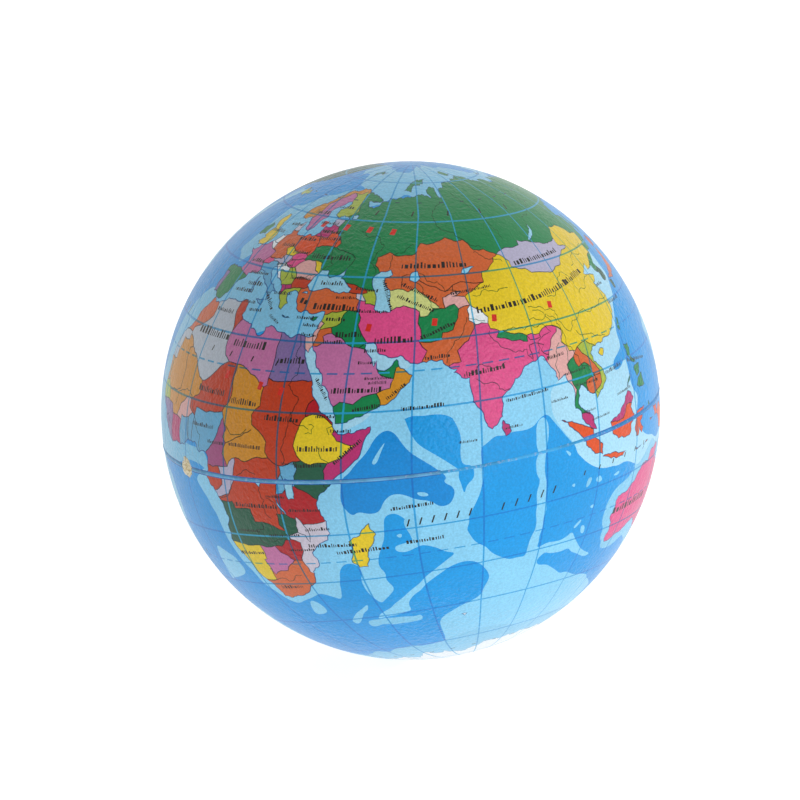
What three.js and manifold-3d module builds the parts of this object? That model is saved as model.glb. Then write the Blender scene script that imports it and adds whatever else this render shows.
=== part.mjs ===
// Foam stress ball printed as a world globe, in millimetres.
// Origin at the ball's centre. +Z is the mould's opening axis and the printed globe's north pole.
// The two mould halves meet on Z = 0, the printed equator, and the pour stub sits there on the 0 degree meridian.
import * as THREE from "three";
import { mergeVertices } from "three/addons/utils/BufferGeometryUtils.js";
import Module from "manifold-3d";

const wasm = await Module();
wasm.setup();

// Driving sizes
const BALL_DIAMETER = 76;
const SKIN_THICKNESS = 0.9; // dense skin that the foam forms against the mould, with its printed paint
const FLASH_WIDTH = 0.5; // raised line where the two mould halves meet, measured along Z
const FLASH_PROUD = 0.15; // how far that line stands above the ball's surface
const FLASH_CREST_WIDTH = 0.2; // flat top of the line
const GATE_DIAMETER = 3.2; // foam stub left where the mix was poured into the mould
const GATE_AZIMUTH_DEG = 208.67; // where the stub sits on the parting line, from +X towards +Y
const CLEARANCE = 0.3; // gap kept between neighbouring solids

// Facets
const SKIN_SEGMENTS = 60;
const SKIN_ROWS = 13;
const CORE_SEGMENTS = 40;
const CORE_ROWS = 24;
const FLASH_SEGMENTS = 120;
const GATE_SEGMENTS = 32;

// Dependent sizes
const BALL_RADIUS = BALL_DIAMETER / 2;
const SKIN_INNER_RADIUS = BALL_RADIUS - SKIN_THICKNESS;
const CORE_RADIUS = SKIN_INNER_RADIUS - CLEARANCE;
const RIM_HEIGHT = FLASH_WIDTH / 2 + CLEARANCE; // where each skin half stops short of the parting plane
const GATE_RADIUS = GATE_DIAMETER / 2;
const GATE_POCKET_RADIUS = GATE_RADIUS + CLEARANCE;
const GATE_AZIMUTH = THREE.MathUtils.degToRad(GATE_AZIMUTH_DEG);

const printedSkin = new THREE.MeshStandardMaterial({ color: 0x2a9fdc, roughness: 0.45, metalness: 0 });
const southSkinPaint = new THREE.MeshStandardMaterial({ color: 0x2695d2, roughness: 0.45, metalness: 0 });
const bareFoam = new THREE.MeshStandardMaterial({ color: 0xf0e6c8, roughness: 0.9, metalness: 0 });
const flashPaint = new THREE.MeshStandardMaterial({ color: 0x9fd0ea, roughness: 0.5, metalness: 0 });
const gateFoam = new THREE.MeshStandardMaterial({ color: 0xe9dba6, roughness: 0.8, metalness: 0 });

function toSolid(geometry) {
  const plain = geometry.clone();
  plain.deleteAttribute("normal");
  plain.deleteAttribute("uv");
  const merged = mergeVertices(plain, 1e-4);
  return new wasm.Manifold(
    new wasm.Mesh({
      numProp: 3,
      vertProperties: new Float32Array(merged.attributes.position.array),
      triVerts: new Uint32Array(merged.index.array),
    }),
  );
}

function toGeometry(solid) {
  const mesh = solid.getMesh();
  const geometry = new THREE.BufferGeometry();
  geometry.setAttribute("position", new THREE.BufferAttribute(mesh.vertProperties, 3));
  geometry.setIndex(new THREE.BufferAttribute(mesh.triVerts, 1));
  geometry.computeVertexNormals();
  return geometry;
}

// A lathe turns round Y, so its result is stood up to turn round Z.
function turnedAboutZ(profile, segments) {
  return new THREE.LatheGeometry(profile, segments).rotateX(Math.PI / 2);
}

// Points on a circle of the given radius, from height startZ up to the pole, the way a lathe profile runs.
function domeArc(radius, startZ, rows) {
  const startAngle = Math.asin(startZ / radius);
  const points = [];
  for (let i = 0; i <= rows; i += 1) {
    const angle = startAngle + ((Math.PI / 2 - startAngle) * i) / rows;
    const onAxis = i === rows;
    points.push(new THREE.Vector2(onAxis ? 0 : radius * Math.cos(angle), radius * Math.sin(angle)));
  }
  return points;
}

// The pour stub's own cylinder along a radius of the ball, from one distance to another.
function gateCylinder(radius, fromRadius, toRadius) {
  const length = toRadius - fromRadius;
  return new THREE.CylinderGeometry(radius, radius, length, GATE_SEGMENTS)
    .rotateZ(-Math.PI / 2)
    .translate(fromRadius + length / 2, 0, 0)
    .rotateZ(GATE_AZIMUTH);
}

// Room for the stub, cut through the skin and the raised line.
function gatePocket() {
  return toSolid(gateCylinder(GATE_POCKET_RADIUS, SKIN_INNER_RADIUS / 2, BALL_RADIUS * 2));
}

function skinHalf() {
  const inner = domeArc(SKIN_INNER_RADIUS, RIM_HEIGHT, SKIN_ROWS);
  const outer = domeArc(BALL_RADIUS, RIM_HEIGHT, SKIN_ROWS);
  return turnedAboutZ([...inner.reverse(), ...outer], SKIN_SEGMENTS);
}

function northSkin() {
  const dome = toSolid(skinHalf());
  return toGeometry(dome.subtract(gatePocket()));
}

function southSkin() {
  const bowl = toSolid(skinHalf().rotateX(Math.PI));
  return toGeometry(bowl.subtract(gatePocket()));
}

// The flash starts inside the skin's thickness and ends in a narrow crest above the surface.
function partingFlash() {
  const half = FLASH_WIDTH / 2;
  const crest = FLASH_CREST_WIDTH / 2;
  const profile = [
    new THREE.Vector2(SKIN_INNER_RADIUS, -half),
    new THREE.Vector2(BALL_RADIUS, -half),
    new THREE.Vector2(BALL_RADIUS + FLASH_PROUD, -crest),
    new THREE.Vector2(BALL_RADIUS + FLASH_PROUD, crest),
    new THREE.Vector2(BALL_RADIUS, half),
    new THREE.Vector2(SKIN_INNER_RADIUS, half),
    new THREE.Vector2(SKIN_INNER_RADIUS, -half),
  ];
  const ring = toSolid(turnedAboutZ(profile, FLASH_SEGMENTS));
  return toGeometry(ring.subtract(gatePocket()));
}

// The stub is trimmed to the ball's curve.
function gateStub() {
  const stub = toSolid(gateCylinder(GATE_RADIUS, SKIN_INNER_RADIUS, BALL_RADIUS * 2));
  const ball = toSolid(new THREE.SphereGeometry(BALL_RADIUS, FLASH_SEGMENTS, FLASH_SEGMENTS / 2));
  return toGeometry(stub.intersect(ball));
}

function foamCore() {
  return new THREE.SphereGeometry(CORE_RADIUS, CORE_SEGMENTS, CORE_ROWS).rotateX(Math.PI / 2);
}

function namedMesh(name, geometry, material) {
  const mesh = new THREE.Mesh(geometry, material);
  mesh.name = name;
  return mesh;
}

const inside = new THREE.Group();
inside.add(namedMesh("foam_core", foamCore(), bareFoam));

const skin = new THREE.Group();
skin.add(namedMesh("north_skin", northSkin(), printedSkin));
skin.add(namedMesh("south_skin", southSkin(), southSkinPaint));

const mouldMarks = new THREE.Group();
mouldMarks.add(namedMesh("parting_flash", partingFlash(), flashPaint));
mouldMarks.add(namedMesh("gate_stub", gateStub(), gateFoam));

const stressBall = new THREE.Group();
stressBall.name = "stress_ball";
stressBall.add(inside, skin, mouldMarks);

export default stressBall;
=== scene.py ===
"""Printed polyurethane foam stress ball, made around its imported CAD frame, in metres."""

import logging
import math
import random
from collections.abc import Callable, Iterator
from dataclasses import dataclass, field
from enum import Enum

import bmesh
import bpy
import numpy as np
from mathutils import Matrix, Vector, noise
from mathutils.geometry import delaunay_2d_cdt


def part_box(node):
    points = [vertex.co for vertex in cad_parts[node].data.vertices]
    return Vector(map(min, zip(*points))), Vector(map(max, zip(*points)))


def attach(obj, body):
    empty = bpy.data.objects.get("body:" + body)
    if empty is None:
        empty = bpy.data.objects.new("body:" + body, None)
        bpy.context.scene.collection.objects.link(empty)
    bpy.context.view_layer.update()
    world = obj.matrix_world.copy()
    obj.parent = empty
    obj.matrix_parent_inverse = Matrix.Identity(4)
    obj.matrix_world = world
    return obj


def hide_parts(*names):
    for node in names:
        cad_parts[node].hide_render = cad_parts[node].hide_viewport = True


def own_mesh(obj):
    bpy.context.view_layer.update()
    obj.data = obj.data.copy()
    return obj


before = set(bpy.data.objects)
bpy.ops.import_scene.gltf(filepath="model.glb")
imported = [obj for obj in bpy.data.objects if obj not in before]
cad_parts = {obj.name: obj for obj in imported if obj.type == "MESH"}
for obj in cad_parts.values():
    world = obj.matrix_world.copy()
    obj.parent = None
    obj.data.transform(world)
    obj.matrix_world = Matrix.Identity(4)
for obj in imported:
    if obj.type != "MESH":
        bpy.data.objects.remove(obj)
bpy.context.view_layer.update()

log = logging.getLogger("stress_ball")

LonLat = tuple[float, float]
MM = 0.001


def to_linear(hex_colour: str) -> tuple[float, float, float, float]:
    """Turn an sRGB hex colour into linear light.

    Args:
        hex_colour: A colour such as "#1d97de".

    Returns:
        Linear red, green, blue and an alpha of 1.
    """
    channels = [int(hex_colour[i:i + 2], 16) / 255 for i in (1, 3, 5)]
    linear = [c / 12.92 if c <= 0.04045 else ((c + 0.055) / 1.055) ** 2.4 for c in channels]
    return (*linear, 1.0)


def read_points(text: str) -> list[LonLat]:
    """Read "lon lat, lon lat" text into points in degrees."""
    return [tuple(float(n) for n in pair.split()) for pair in text.split(",")]


class Half(Enum):
    """The two mould halves, each with its own printed dome."""

    NORTH = 1
    SOUTH = -1


class Line(Enum):
    """Kinds of line that the print lays over its flat colours."""

    COAST = "coast"
    BORDER = "border"
    RIVER = "river"
    GRATICULE = "graticule"
    EQUATOR_EDGE = "equator edge"
    POLAR_DASH = "polar dash"
    NAME_MARK = "name mark"
    RED_MARK = "red mark"


INKS: dict[str, str] = {
    "deep": "#0896de", "far deep": "#0086d2", "ridge": "#84caec", "shelf": "#7cc2e4", "shallow": "#9fd2ea",
    "lake": "#90cbe4", "pale sea": "#a2d6ee",
    "green": "#0b8047", "dark green": "#17573f", "orange": "#cd6230", "vermilion": "#d84c14",
    "red orange": "#bc3a16", "red": "#ad141f", "magenta": "#b4286c", "mauve": "#9f4a7d", "pink": "#d94a86",
    "orchid": "#bd6d9f", "purple": "#7d679c", "lilac": "#b2aec8", "yellow": "#e0c41e", "ochre": "#cc8a1e",
    "straw": "#ccd283", "lime": "#a4b53c", "salmon": "#dba6a2", "white": "#e6ecf0", "blush": "#c9c3d2",
    "sky": "#62a9d0", "stone": "#b3bdc9",
}

# Seed points inside each country, with the ink that fills it up to its borders and coasts.
COUNTRIES: dict[str, str] = {
    "green": "60 62, 100 62, 135 62, 40 55, 32 49, 43.5 33, 45 15.2, 65 33, 84 28.1, 100.5 17, 99 8.7, 121 24,"
             " 121 16, 125 8, 127.3 40.6, 33 35.1, 25 35.2, 57 74.5, 54.5 23.6, -3 40, -105 55, -102 23, -59 -22.4,"
             " -71 4, 172 -43, -8 53, 142 47, 96 79.5",
    "dark green": "37.8 0.5, 18 -12, 26.5 -14.5, 127.8 36.4, -58.5 5, -42 70",
    "orange": "67 48, 63 42, 75 41.5, 34 39, 67 27.5, -6 32, 36.8 31, 24 -31, -60 -8, -72 -10, 138 36, 10 51, 102.3 20.5,"
              " 105 12.8",
    "vermilion": "102 -1, 114 -1, 110 -7.3, 121 -2, 138 -4, 95.5 5, 19 52, 28 53.5",
    "red orange": "8 17.5, 30 15, 23 -3, 43.5 42.2, 9.4 35.5, 12 -1, -85 13, -64 -36, 141 43, 24.8 42.8",
    "red": "35 -6.5, 30 -19, -90 14.5, 38.4 16, 40 14.8",
    "magenta": "47 5.5, 47 10.2, 80.8 7.5, 102.3 4, 113.5 2.8, -3.3 7.5, -77 -1, 24.7 56.9, 21 41.6",
    "mauve": "12.5 5.5",
    "pink": "78 20, 54 32, 134 -25, -152 65, 8.3 46.8, 90 24, 19 47, -64.5 -17",
    "orchid": "44 24, 17 28, 24 -22, 15 62, -66 7, 2.5 47",
    "purple": "29 27, -8 39.5, -10.5 7",
    "lilac": "104 46.5, 15.3 -1, -75 21.5, 26.5 58.9, 16 47.5",
    "yellow": "105 33, 40 8, 17 -22, 110 19.3, 29 47.2, 46.5 -19, -100 40, -71 -28, -1 52.5, 144 -5, 15 49.8",
    "ochre": "-2 18, 19 15, 21 7, 57 21, 9 61, -12 20, -56 -33",
    "straw": "58.5 39.5",
    "lime": "38.5 35, 47.8 40.4, 20.8 44, 106 20.8, 108.3 13, 22.5 39.5, -14.5 14, 26 63, -19 65",
    "salmon": "96 21.5, 25 46, 70.5 38.7, 35 31.4, 166 -21.5, -2.5 12.5",
    "white": "76.5 34.6, 4.8 50.8, 14 46.1, 107 -80, 0 -80",
    "blush": "38 -14.5, 33.8 -20, 34 -12, 45.2 40.2, 9.8 56.2",
    "sky": "7 9.5, 32.4 1.5, -1.2 8, 12.8 42.8",
    "stone": "2 29, -12.5 25",
}

LAND_OUTLINES: dict[str, str] = {
    "africa": "32.3 31.2, 31 31.5, 29 30.9, 27 31.2, 25.2 31.7, 23.2 32.3, 21.5 32.9, 20 32.4, 19.9 31, 19 30.4,"
              " 17.5 30.9, 15.4 31.7, 15.2 32.4, 13 32.9, 11.2 33.3, 10.3 34, 10.8 35, 10.6 36.6, 9.8 37.4, 8 36.9,"
              " 5 36.8, 3 36.8, 0 35.9, -2 35.1, -4 35.2, -5.7 35.9, -6.3 35, -7.6 33.6, -9.4 32, -9.7 30.2,"
              " -11.2 28.5, -13.2 27.6, -14.8 25.6, -16.3 23, -17 21, -16.2 19.4, -16.5 16.4, -17.5 14.7, -16.8 12.6,"
              " -15 10.9, -13.4 9.3, -12.6 7.8, -11.3 6.7, -9 5, -7.5 4.3, -5 5.1, -2.2 4.8, 0.5 5.8, 2.6 6.3,"
              " 4.4 6.3, 5.3 5, 6.3 4.3, 8.6 4.7, 9.6 3.6, 9.5 1.2, 8.8 -0.8, 9.6 -2.4, 11.2 -4, 12.3 -5.8,"
              " 13.2 -8.6, 13.8 -10.8, 12.5 -13.4, 11.8 -16.6, 12.7 -19.2, 14.4 -22.4, 14.9 -26, 16.8 -29,"
              " 18.2 -32, 18.4 -34.2, 20.2 -34.8, 23 -34.1, 25.8 -33.9, 28 -32.9, 30.6 -30.5, 32.4 -28.4,"
              " 32.9 -26, 35.3 -24.2, 35.5 -21.8, 34.9 -20, 37 -17.8, 39.8 -16.3, 40.7 -14.5, 40.5 -10.8,"
              " 39.5 -8.4, 38.9 -6.2, 39.4 -4.6, 41.6 -1.8, 43 -0.3, 45.6 2.2, 47.9 4.5, 49.6 7.6, 51.1 10.6,"
              " 51.2 11.9, 48.9 11.3, 46.5 10.8, 44.2 10.5, 43.2 11.6, 42.8 13, 41 14.7, 39.4 15.7, 38.2 18,"
              " 37.2 19.6, 36.9 21.6, 35.5 24, 34 26.5, 32.7 29, 32.5 30",
    "eurasia": "32.3 31.2, 34.2 31.3, 35 33, 35.9 35.3, 36 36.8, 34.4 36.6, 32.6 36.1, 30.8 36.8, 29.2 36.3,"
               " 27.4 37, 26.5 38.6, 26.2 40.2, 25.6 40.8, 23.8 40.7, 22.7 40.3, 23 39, 24 38, 23 37.3, 22.6 36.5,"
               " 21.5 37, 21.2 38.3, 20 39.6, 19.4 41.6, 17.5 43, 15.2 44.3, 14.2 45.2, 13.6 45.7, 12.3 45.3,"
               " 12.5 44.2, 13.8 43.3, 14.7 42.1, 16.2 41.7, 18.4 40.2, 17 40.4, 16.6 39.4, 16.8 38.7, 15.9 38,"
               " 15.8 39.4, 14.4 40.8, 12.4 41.7, 10.5 43, 9.8 44.1, 8.6 44.3, 7 43.6, 4.8 43.4, 3.1 43, 3.1 41.9,"
               " 0.8 40.9, -0.2 39.2, -0.8 37.8, -2.2 36.8, -5.5 36.1, -6.8 37.1, -8.9 37.1, -9.3 38.8, -8.8 41,"
               " -9 43.1, -6 43.6, -1.9 43.4, -1.2 45.6, -2.6 47.3, -4.7 48.3, -1.8 48.7, -1.4 49.6, 1.4 50.2,"
               " 3.8 51.6, 5.2 53.2, 8.4 53.9, 8.2 56.6, 10.5 57.6, 10.6 55.8, 11.2 54.1, 14.2 54, 17 54.6,"
               " 19.6 54.4, 21 55.4, 21.3 57.4, 24 57.2, 24.2 58.4, 23.6 59.2, 26.5 59.6, 29.6 59.9, 28 60.6,"
               " 24 60, 21.6 60.8, 21.4 62.8, 24.8 64.9, 24 65.8, 21.8 65.2, 19 63.2, 17.2 61.6, 18.5 59.8,"
               " 16.6 58.4, 16.2 56.5, 14.2 55.5, 12.8 56, 11.6 58.2, 10.5 59.3, 8 58.2, 5.6 58.9, 5.1 61.2,"
               " 8 63.4, 11.8 65.2, 14.5 67.8, 18.5 69.8, 23.5 70.8, 28.5 71, 32 69.9, 37 68.7, 41 67.1, 39.5 66.2,"
               " 35 66.5, 33.4 66.3, 35 64.5, 38 64.2, 40.2 65, 40.6 66.3, 44 66.6, 44.4 68.2, 47 67.8, 53.5 68.7,"
               " 58 68.8, 61 69.7, 65 69.2, 68.6 68.4, 67 70, 67 71.8, 70.5 73.1, 73 72.4, 72.6 69.8, 73.8 68,"
               " 75 70, 76 72.1, 80 72.5, 81 73.8, 87 75, 94 76.1, 100 76.6, 104.5 77.6, 112 76.2, 113.5 73.8,"
               " 119 73, 126 73.4, 129.5 71.2, 134 71.5, 141 72.6, 151 71.3, 160 69.8, 170 69.9, 178 69.2,"
               " 184 67.2, 190.2 66, 187 64.4, 180 65, 177.4 64.4, 179.4 62.4, 174 61.8, 170 60, 164.5 59.8,"
               " 162.6 57, 160 53.4, 156.7 51.1, 155.8 55, 158.5 58.2, 162.6 61, 157.4 61.6, 152.6 59, 147 59.3,"
               " 141.4 58.6, 137.4 54.6, 140.6 53, 140.4 49.5, 138 46.2, 134.5 43.2, 131.4 42.9, 129.7 41.2,"
               " 127.5 39.6, 129.2 37.2, 129.2 35.2, 126.6 34.5, 126.6 37, 125 38, 124.8 39.6, 121.4 39, 121.8 40.8,"
               " 119 39.2, 117.8 38.6, 120.4 37.8, 122.5 37.2, 119.6 35.4, 120.8 33, 121.8 31.2, 121.6 28.6,"
               " 119.6 25.6, 116.8 23.2, 113.6 22.2, 110.6 21.3, 109.4 21.6, 107.4 21.3, 106 19.8, 106.4 17.8,"
               " 108.6 15.6, 109.4 12.6, 107.6 10.6, 105.2 8.8, 105 10.2, 103.2 10.8, 102 12.4, 100.8 13.4,"
               " 99.9 12.2, 99.4 9.6, 100.4 7.6, 102.4 6.2, 103.5 4, 104.2 1.5, 102.6 2, 100.8 4, 100 6.6, 98.4 8.2,"
               " 98.6 11, 97.9 14.4, 97 16.8, 94.6 15.9, 94.2 18.2, 92.4 20.8, 91 22.6, 88.6 21.7, 87 21.2,"
               " 85.4 19.7, 82.4 16.8, 80.2 15.2, 80.1 12.8, 79.8 10.6, 78.4 8.8, 77.4 8.1, 76 10, 74.6 13.4,"
               " 73.2 17, 72.8 20.6, 71 20.8, 69.2 22.2, 70 22.9, 67.4 24, 66.6 25.3, 61.6 25.1, 58.6 25.7,"
               " 56.8 27, 54 26.7, 51.2 28, 50 30.1, 48 30, 48.8 27.8, 50.1 26.6, 50.8 24.8, 51.3 26.1, 51.5 24.4,"
               " 54 24.1, 56 26.2, 57 24.2, 59.8 22.5, 58 20, 56.4 18, 52.4 15.8, 48.8 14.1, 45 12.9, 43.4 12.8,"
               " 42.7 15.6, 41.2 18.6, 39.2 21, 38.2 23.8, 36.6 26, 34.9 29.3, 34.2 27.8, 33.2 28.5, 32.6 30",
    "britain": "-5.4 50.1, 0.8 50.9, 1.5 52.6, -0.4 54.2, -2 56, -2 57.6, -4.4 58.5, -5.6 56.4, -3.2 54.4, -4.4 53,"
               " -5 51.8, -3.4 51.4",
    "ireland": "-6.2 52.2, -5.6 54.4, -7.6 55.2, -9.8 53.8, -9.8 51.7",
    "iceland": "-22.4 64, -18.6 63.5, -13.8 65, -16.4 66.4, -23.8 66.2",
    "svalbard": "14 77.4, 21 78.6, 25 80, 16 80, 11 79.2",
    "novaya zemlya": "52 71.2, 56.5 70.8, 58 73.6, 66.5 76.2, 68.4 76.9, 60 76.2, 54.6 73.6",
    "severnaya": "92 79.6, 98 78, 105 79, 98 81",
    "new siberia": "138 75.2, 148 75, 143 76.1",
    "sicily": "12.5 37.9, 15.2 36.8, 15.4 38.2", "sardinia": "8.4 39, 9.6 39.2, 9.4 42.9, 8.4 41",
    "crete": "23.6 35.4, 26.2 35, 24.8 34.9", "cyprus": "32.4 35, 34.4 35.6, 33.4 34.6",
    "sri lanka": "79.9 9.7, 81.3 8.4, 81.7 6.8, 80.4 5.9, 79.8 7.4",
    "madagascar": "49.9 -12.2, 51 -15.6, 49.6 -19, 48.2 -23, 47.4 -25.6, 45.2 -25.6, 43.9 -23.6, 44.6 -20.4,"
                  " 44.6 -17.2, 47.4 -15.6, 48.6 -13.6",
    "sumatra": "94.2 6.4, 97 5.4, 99 4.2, 103.2 1.8, 104.6 -1.4, 106 -3, 106 -6, 103.4 -5, 100.8 -1.8, 99.2 1.4, 97 3.8",
    "java": "106 -6.6, 108.6 -6.8, 111 -7, 114.6 -7.8, 113.6 -8.8, 109 -8.2",
    "borneo": "109 1.8, 111.4 2.4, 113.4 4, 115.6 6.2, 117 7.4, 119.2 5.2, 117.6 3, 119 0.8, 117.2 -1.2, 116.2 -4,"
              " 114.4 -4, 111.6 -3.4, 109.6 -1.4",
    "sulawesi": "119.6 -5.4, 120.6 -5.6, 121 -3, 122.6 -5.4, 123.4 -4, 121.8 -2, 123.4 -0.8, 120.4 0.4, 124.6 1.4,"
                " 120.6 1.2, 119.4 -1.4, 119 -3.4",
    "new guinea": "131 -0.8, 134.2 -1, 134.8 -3.2, 138 -1.7, 144 -4, 147.8 -6.2, 150.8 -10.4, 146 -8.4, 142.6 -9.3,"
                  " 138 -8.2, 136 -4.6, 132.4 -3.8, 132 -2.2",
    "halmahera": "127.6 1.8, 128.6 0.4, 127.8 -0.8", "timor": "123.6 -10.3, 127 -8.4, 124.4 -9.2",
    "flores": "119 -8.6, 122.8 -8.5, 120 -9.3", "seram": "128 -3.2, 130.8 -3.5, 128.6 -3.8",
    "new britain": "148.6 -5.6, 152.2 -4.6, 150.6 -6.3", "solomons": "155 -6, 161.6 -10.2, 157 -8.2",
    "luzon": "120 18.4, 122.2 18.3, 121.8 15.4, 124 12.8, 121.6 13.6, 120.2 15.6",
    "visayas": "122 11.8, 125.4 12.2, 124.6 10, 122.8 9.4", "mindanao": "122 7.2, 125.8 9.6, 126.4 6.4, 124.2 6.4",
    "palawan": "117.2 8.3, 119.6 11.3, 118.8 9.6", "taiwan": "120.1 23, 121.4 25.3, 122 24.8, 120.9 21.9",
    "hainan": "108.7 19.2, 109.8 20.2, 111 19.8, 110 18.2",
    "kyushu": "130 33.5, 132 33.4, 131.2 31.2, 130.2 31.4",
    "honshu": "131 34.3, 134.8 35.8, 137.4 37.2, 140 40.6, 141.4 41.4, 142 39.4, 140.8 36, 138.4 34.7, 135.4 33.6",
    "hokkaido": "140 42, 141.6 45.4, 145.4 43.4, 143 42", "sakhalin": "142 46, 143.6 49.4, 142.8 54.3, 141.8 51",
    "australia": "114 -22, 114.6 -20.8, 117.4 -20.6, 121.6 -18.4, 122.4 -17, 125.2 -14.6, 128.8 -14.8, 130.6 -12.2,"
                 " 134.4 -11.8, 136.8 -12.2, 135.6 -14.8, 139.6 -17.6, 141 -16, 141.6 -12.6, 142.6 -10.8,"
                 " 144.4 -14.2, 146.2 -18.6, 149 -20.6, 151.4 -24, 153.4 -27.4, 152.6 -31.8, 150 -37.4, 146.4 -39,"
                 " 143.4 -38.8, 140 -37.6, 138 -34.6, 135.8 -34.8, 131.6 -31.6, 128 -31.8, 124 -33.6, 119.6 -34.6,"
                 " 116 -35.1, 115 -33.8, 115.6 -31.4, 113.4 -26.6",
    "tasmania": "144.8 -40.8, 148.2 -40.9, 147 -43.5", "north zealand": "173 -34.8, 178.2 -37.8, 175.2 -41.4, 174 -39.2",
    "south zealand": "172.8 -40.7, 174 -42, 170.8 -45.8, 168.4 -46.6, 166.6 -45.8",
    "new caledonia": "164 -20.2, 167 -22.3, 165 -21.8", "fiji": "177.4 -17.6, 178.8 -17.4, 178 -18.3",
    "greenland": "-44 60, -49 63, -53.6 67, -54 70.4, -61 75.6, -72 78, -62 81.4, -34 83.4, -20 81.6, -19 76,"
                 " -24 71, -33 68, -40 65",
    "north america": "-168 65.6, -166 68.2, -156.6 71.2, -141 69.7, -128 70, -115 68.4, -108 68, -96 67.4, -94 71.6,"
                     " -88 68.4, -82 68.6, -87 65, -94 61, -92.6 57, -82.6 55.2, -80 51.4, -78.8 55, -77.6 60,"
                     " -73 62.2, -66 58.8, -61.6 56, -56 52.6, -64 50, -65 48.4, -61.4 45.8, -66 43.6, -70.4 43.2,"
                     " -70.6 41.6, -74 40.4, -76 37, -77.8 34.2, -81.4 31, -80.2 26.4, -81.6 26, -83 29.6, -89.4 29.4,"
                     " -94 29.6, -97.4 27, -97.6 22.4, -95.6 18.8, -91.6 18.6, -90.4 21, -87 21.4, -88.4 16.4,"
                     " -83.4 15, -83.6 11.2, -81 8.9, -77.2 8.6, -78.4 7.6, -80.4 7.4, -83.6 8.6, -87.4 12.8,"
                     " -92 14.4, -96 15.8, -101.6 17.8, -105.6 20.2, -109.4 25.8, -112.8 30.6, -114.6 31.4,"
                     " -111.4 26, -109.6 23, -112 25.4, -115.8 30.2, -117.2 32.8, -120.6 34.6, -124 40, -124.2 46.6,"
                     " -127.6 50.8, -131.6 55.4, -136.4 58.6, -145 60.4, -151.6 59.4, -157 57, -163.6 54.8,"
                     " -158 58.6, -162 59.6, -165.6 62.2, -161.2 64.4",
    "baffin": "-62 66.4, -68 70.2, -80 73.6, -89 73.2, -84 70, -74 65, -66 62.4",
    "victoria island": "-117 70, -107 73, -101 69.4, -113 68.6", "banks": "-125 72, -118 75.4, -119 71.4",
    "ellesmere": "-90 76.6, -78 77, -63 82.4, -84 82.6, -95 79", "melville": "-115 74.8, -105 76.4, -96 75, -104 74.6",
    "newfoundland": "-59.2 47.8, -55.4 51.4, -53 47", "vancouver": "-128 50.6, -123.8 48.6, -125.4 49.9",
    "cuba": "-84.8 22, -80 23.1, -74.4 20.2, -78 19.9", "hispaniola": "-74.2 18.4, -72.6 19.9, -68.6 18.6",
    "jamaica": "-78.2 18.3, -76.4 17.9, -77.4 18.5", "hawaii": "-156 20, -155 19.4, -155.8 19.1",
    "south america": "-77.4 8.6, -74.8 11, -71.6 12.4, -68 11.4, -62 10.6, -58 6.8, -52 4.8, -50 0.4, -44.4 -2.4,"
                     " -38.6 -3.8, -35 -6, -35.4 -9.4, -38.8 -13.4, -39.4 -18.4, -41.8 -22.4, -46.4 -24.2,"
                     " -48.6 -27.4, -52 -32.4, -55 -34.8, -58.2 -34.2, -57.2 -37.6, -62 -39, -65 -41, -64.6 -42.6,"
                     " -67.4 -46.2, -65.8 -47.6, -69 -51, -68.4 -54.4, -71 -54, -74.6 -51, -74 -46.6, -73.2 -41.6,"
                     " -73.6 -37.2, -71.4 -31, -70.4 -23.4, -70.4 -18.4, -76 -13.8, -81.2 -6, -80.6 -3.4,"
                     " -80.2 0.2, -77.6 3.2, -77.6 7",
    "falklands": "-61 -51.6, -58 -51.6, -59.4 -52.3", "kerguelen": "68.6 -49, 70.4 -49, 69.6 -49.8",
    "antarctica": "-60 -63.4, -66 -68, -76 -72.6, -100 -72.4, -120 -74, -150 -77, -163 -78.4, -180 -78.4,"
                  " -196 -76, -190 -71.4, -215 -66.8, -250 -66.2, -272 -67, -290 -69.4, -304 -67.2, -325 -69.6,"
                  " -350 -70.6, -370 -72, -385 -76, -400 -78, -420 -75, -421 -68",
}

WATER_OUTLINES: dict[str, str] = {
    "black sea": "29.2 41.3, 27.9 42.4, 28.8 44.4, 30.6 46.2, 33 46.2, 33 45.2, 34 44.5, 36 45.2, 38.6 47.1,"
                 " 38.4 45.4, 37.6 44.6, 39.8 43.4, 41.8 42.2, 41.2 41.3, 38.4 41, 36 41.5, 34.4 42.1, 31.8 41.5",
    "marmara": "27.2 40.6, 28.8 41, 29 40.5",
    "caspian": "47.6 43.2, 47.4 45, 49.4 46.4, 52.4 46.9, 53.2 45.6, 51 44.8, 51.2 43.4, 52.8 42, 53.2 40.4, 53.6 38,"
               " 53.6 36.8, 51 36.6, 49.2 37.6, 49.4 39.8, 48.6 41.8",
    "aral": "58.4 44.2, 58.6 45.8, 60.6 46.4, 61.4 44.6, 60 43.6",
    "balkhash": "74 45.2, 74.6 46.3, 78.4 46.6, 77 46, 75.4 44.9",
    "baikal": "103.8 51.4, 107 53.4, 109.6 55.8, 109 53.6, 106 51.8",
    "victoria": "32 0.8, 34.2 0.3, 33.8 -4.4, 32.4 -4.6", "tanganyika": "29.3 -3.6, 29.9 -6.4, 31.2 -8.8, 29.4 -6.4",
    "ladoga": "30.8 60, 30.4 61.2, 32.8 61.2, 32.8 60.1", "superior": "-92 46.8, -88 48.8, -84.6 46.8, -88 46.6",
    "michigan": "-87.8 42, -87 45.6, -85 45.6, -86.4 42.4", "huron": "-84 46, -80 45.6, -82 43.2, -83.6 44.4",
    "erie": "-83.4 41.8, -79 42.8, -81 41.8", "winnipeg": "-97.2 50.6, -99 53.6, -97 52",
    "bear": "-125 65.4, -120 66.8, -119 65.6", "slave": "-117 61, -110 62.8, -113 61.2",
    "congo bend": "23.6 0.6, 25.2 0.3, 25.6 -0.6, 25.2 -1.6, 24.6 -1",
}

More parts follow.
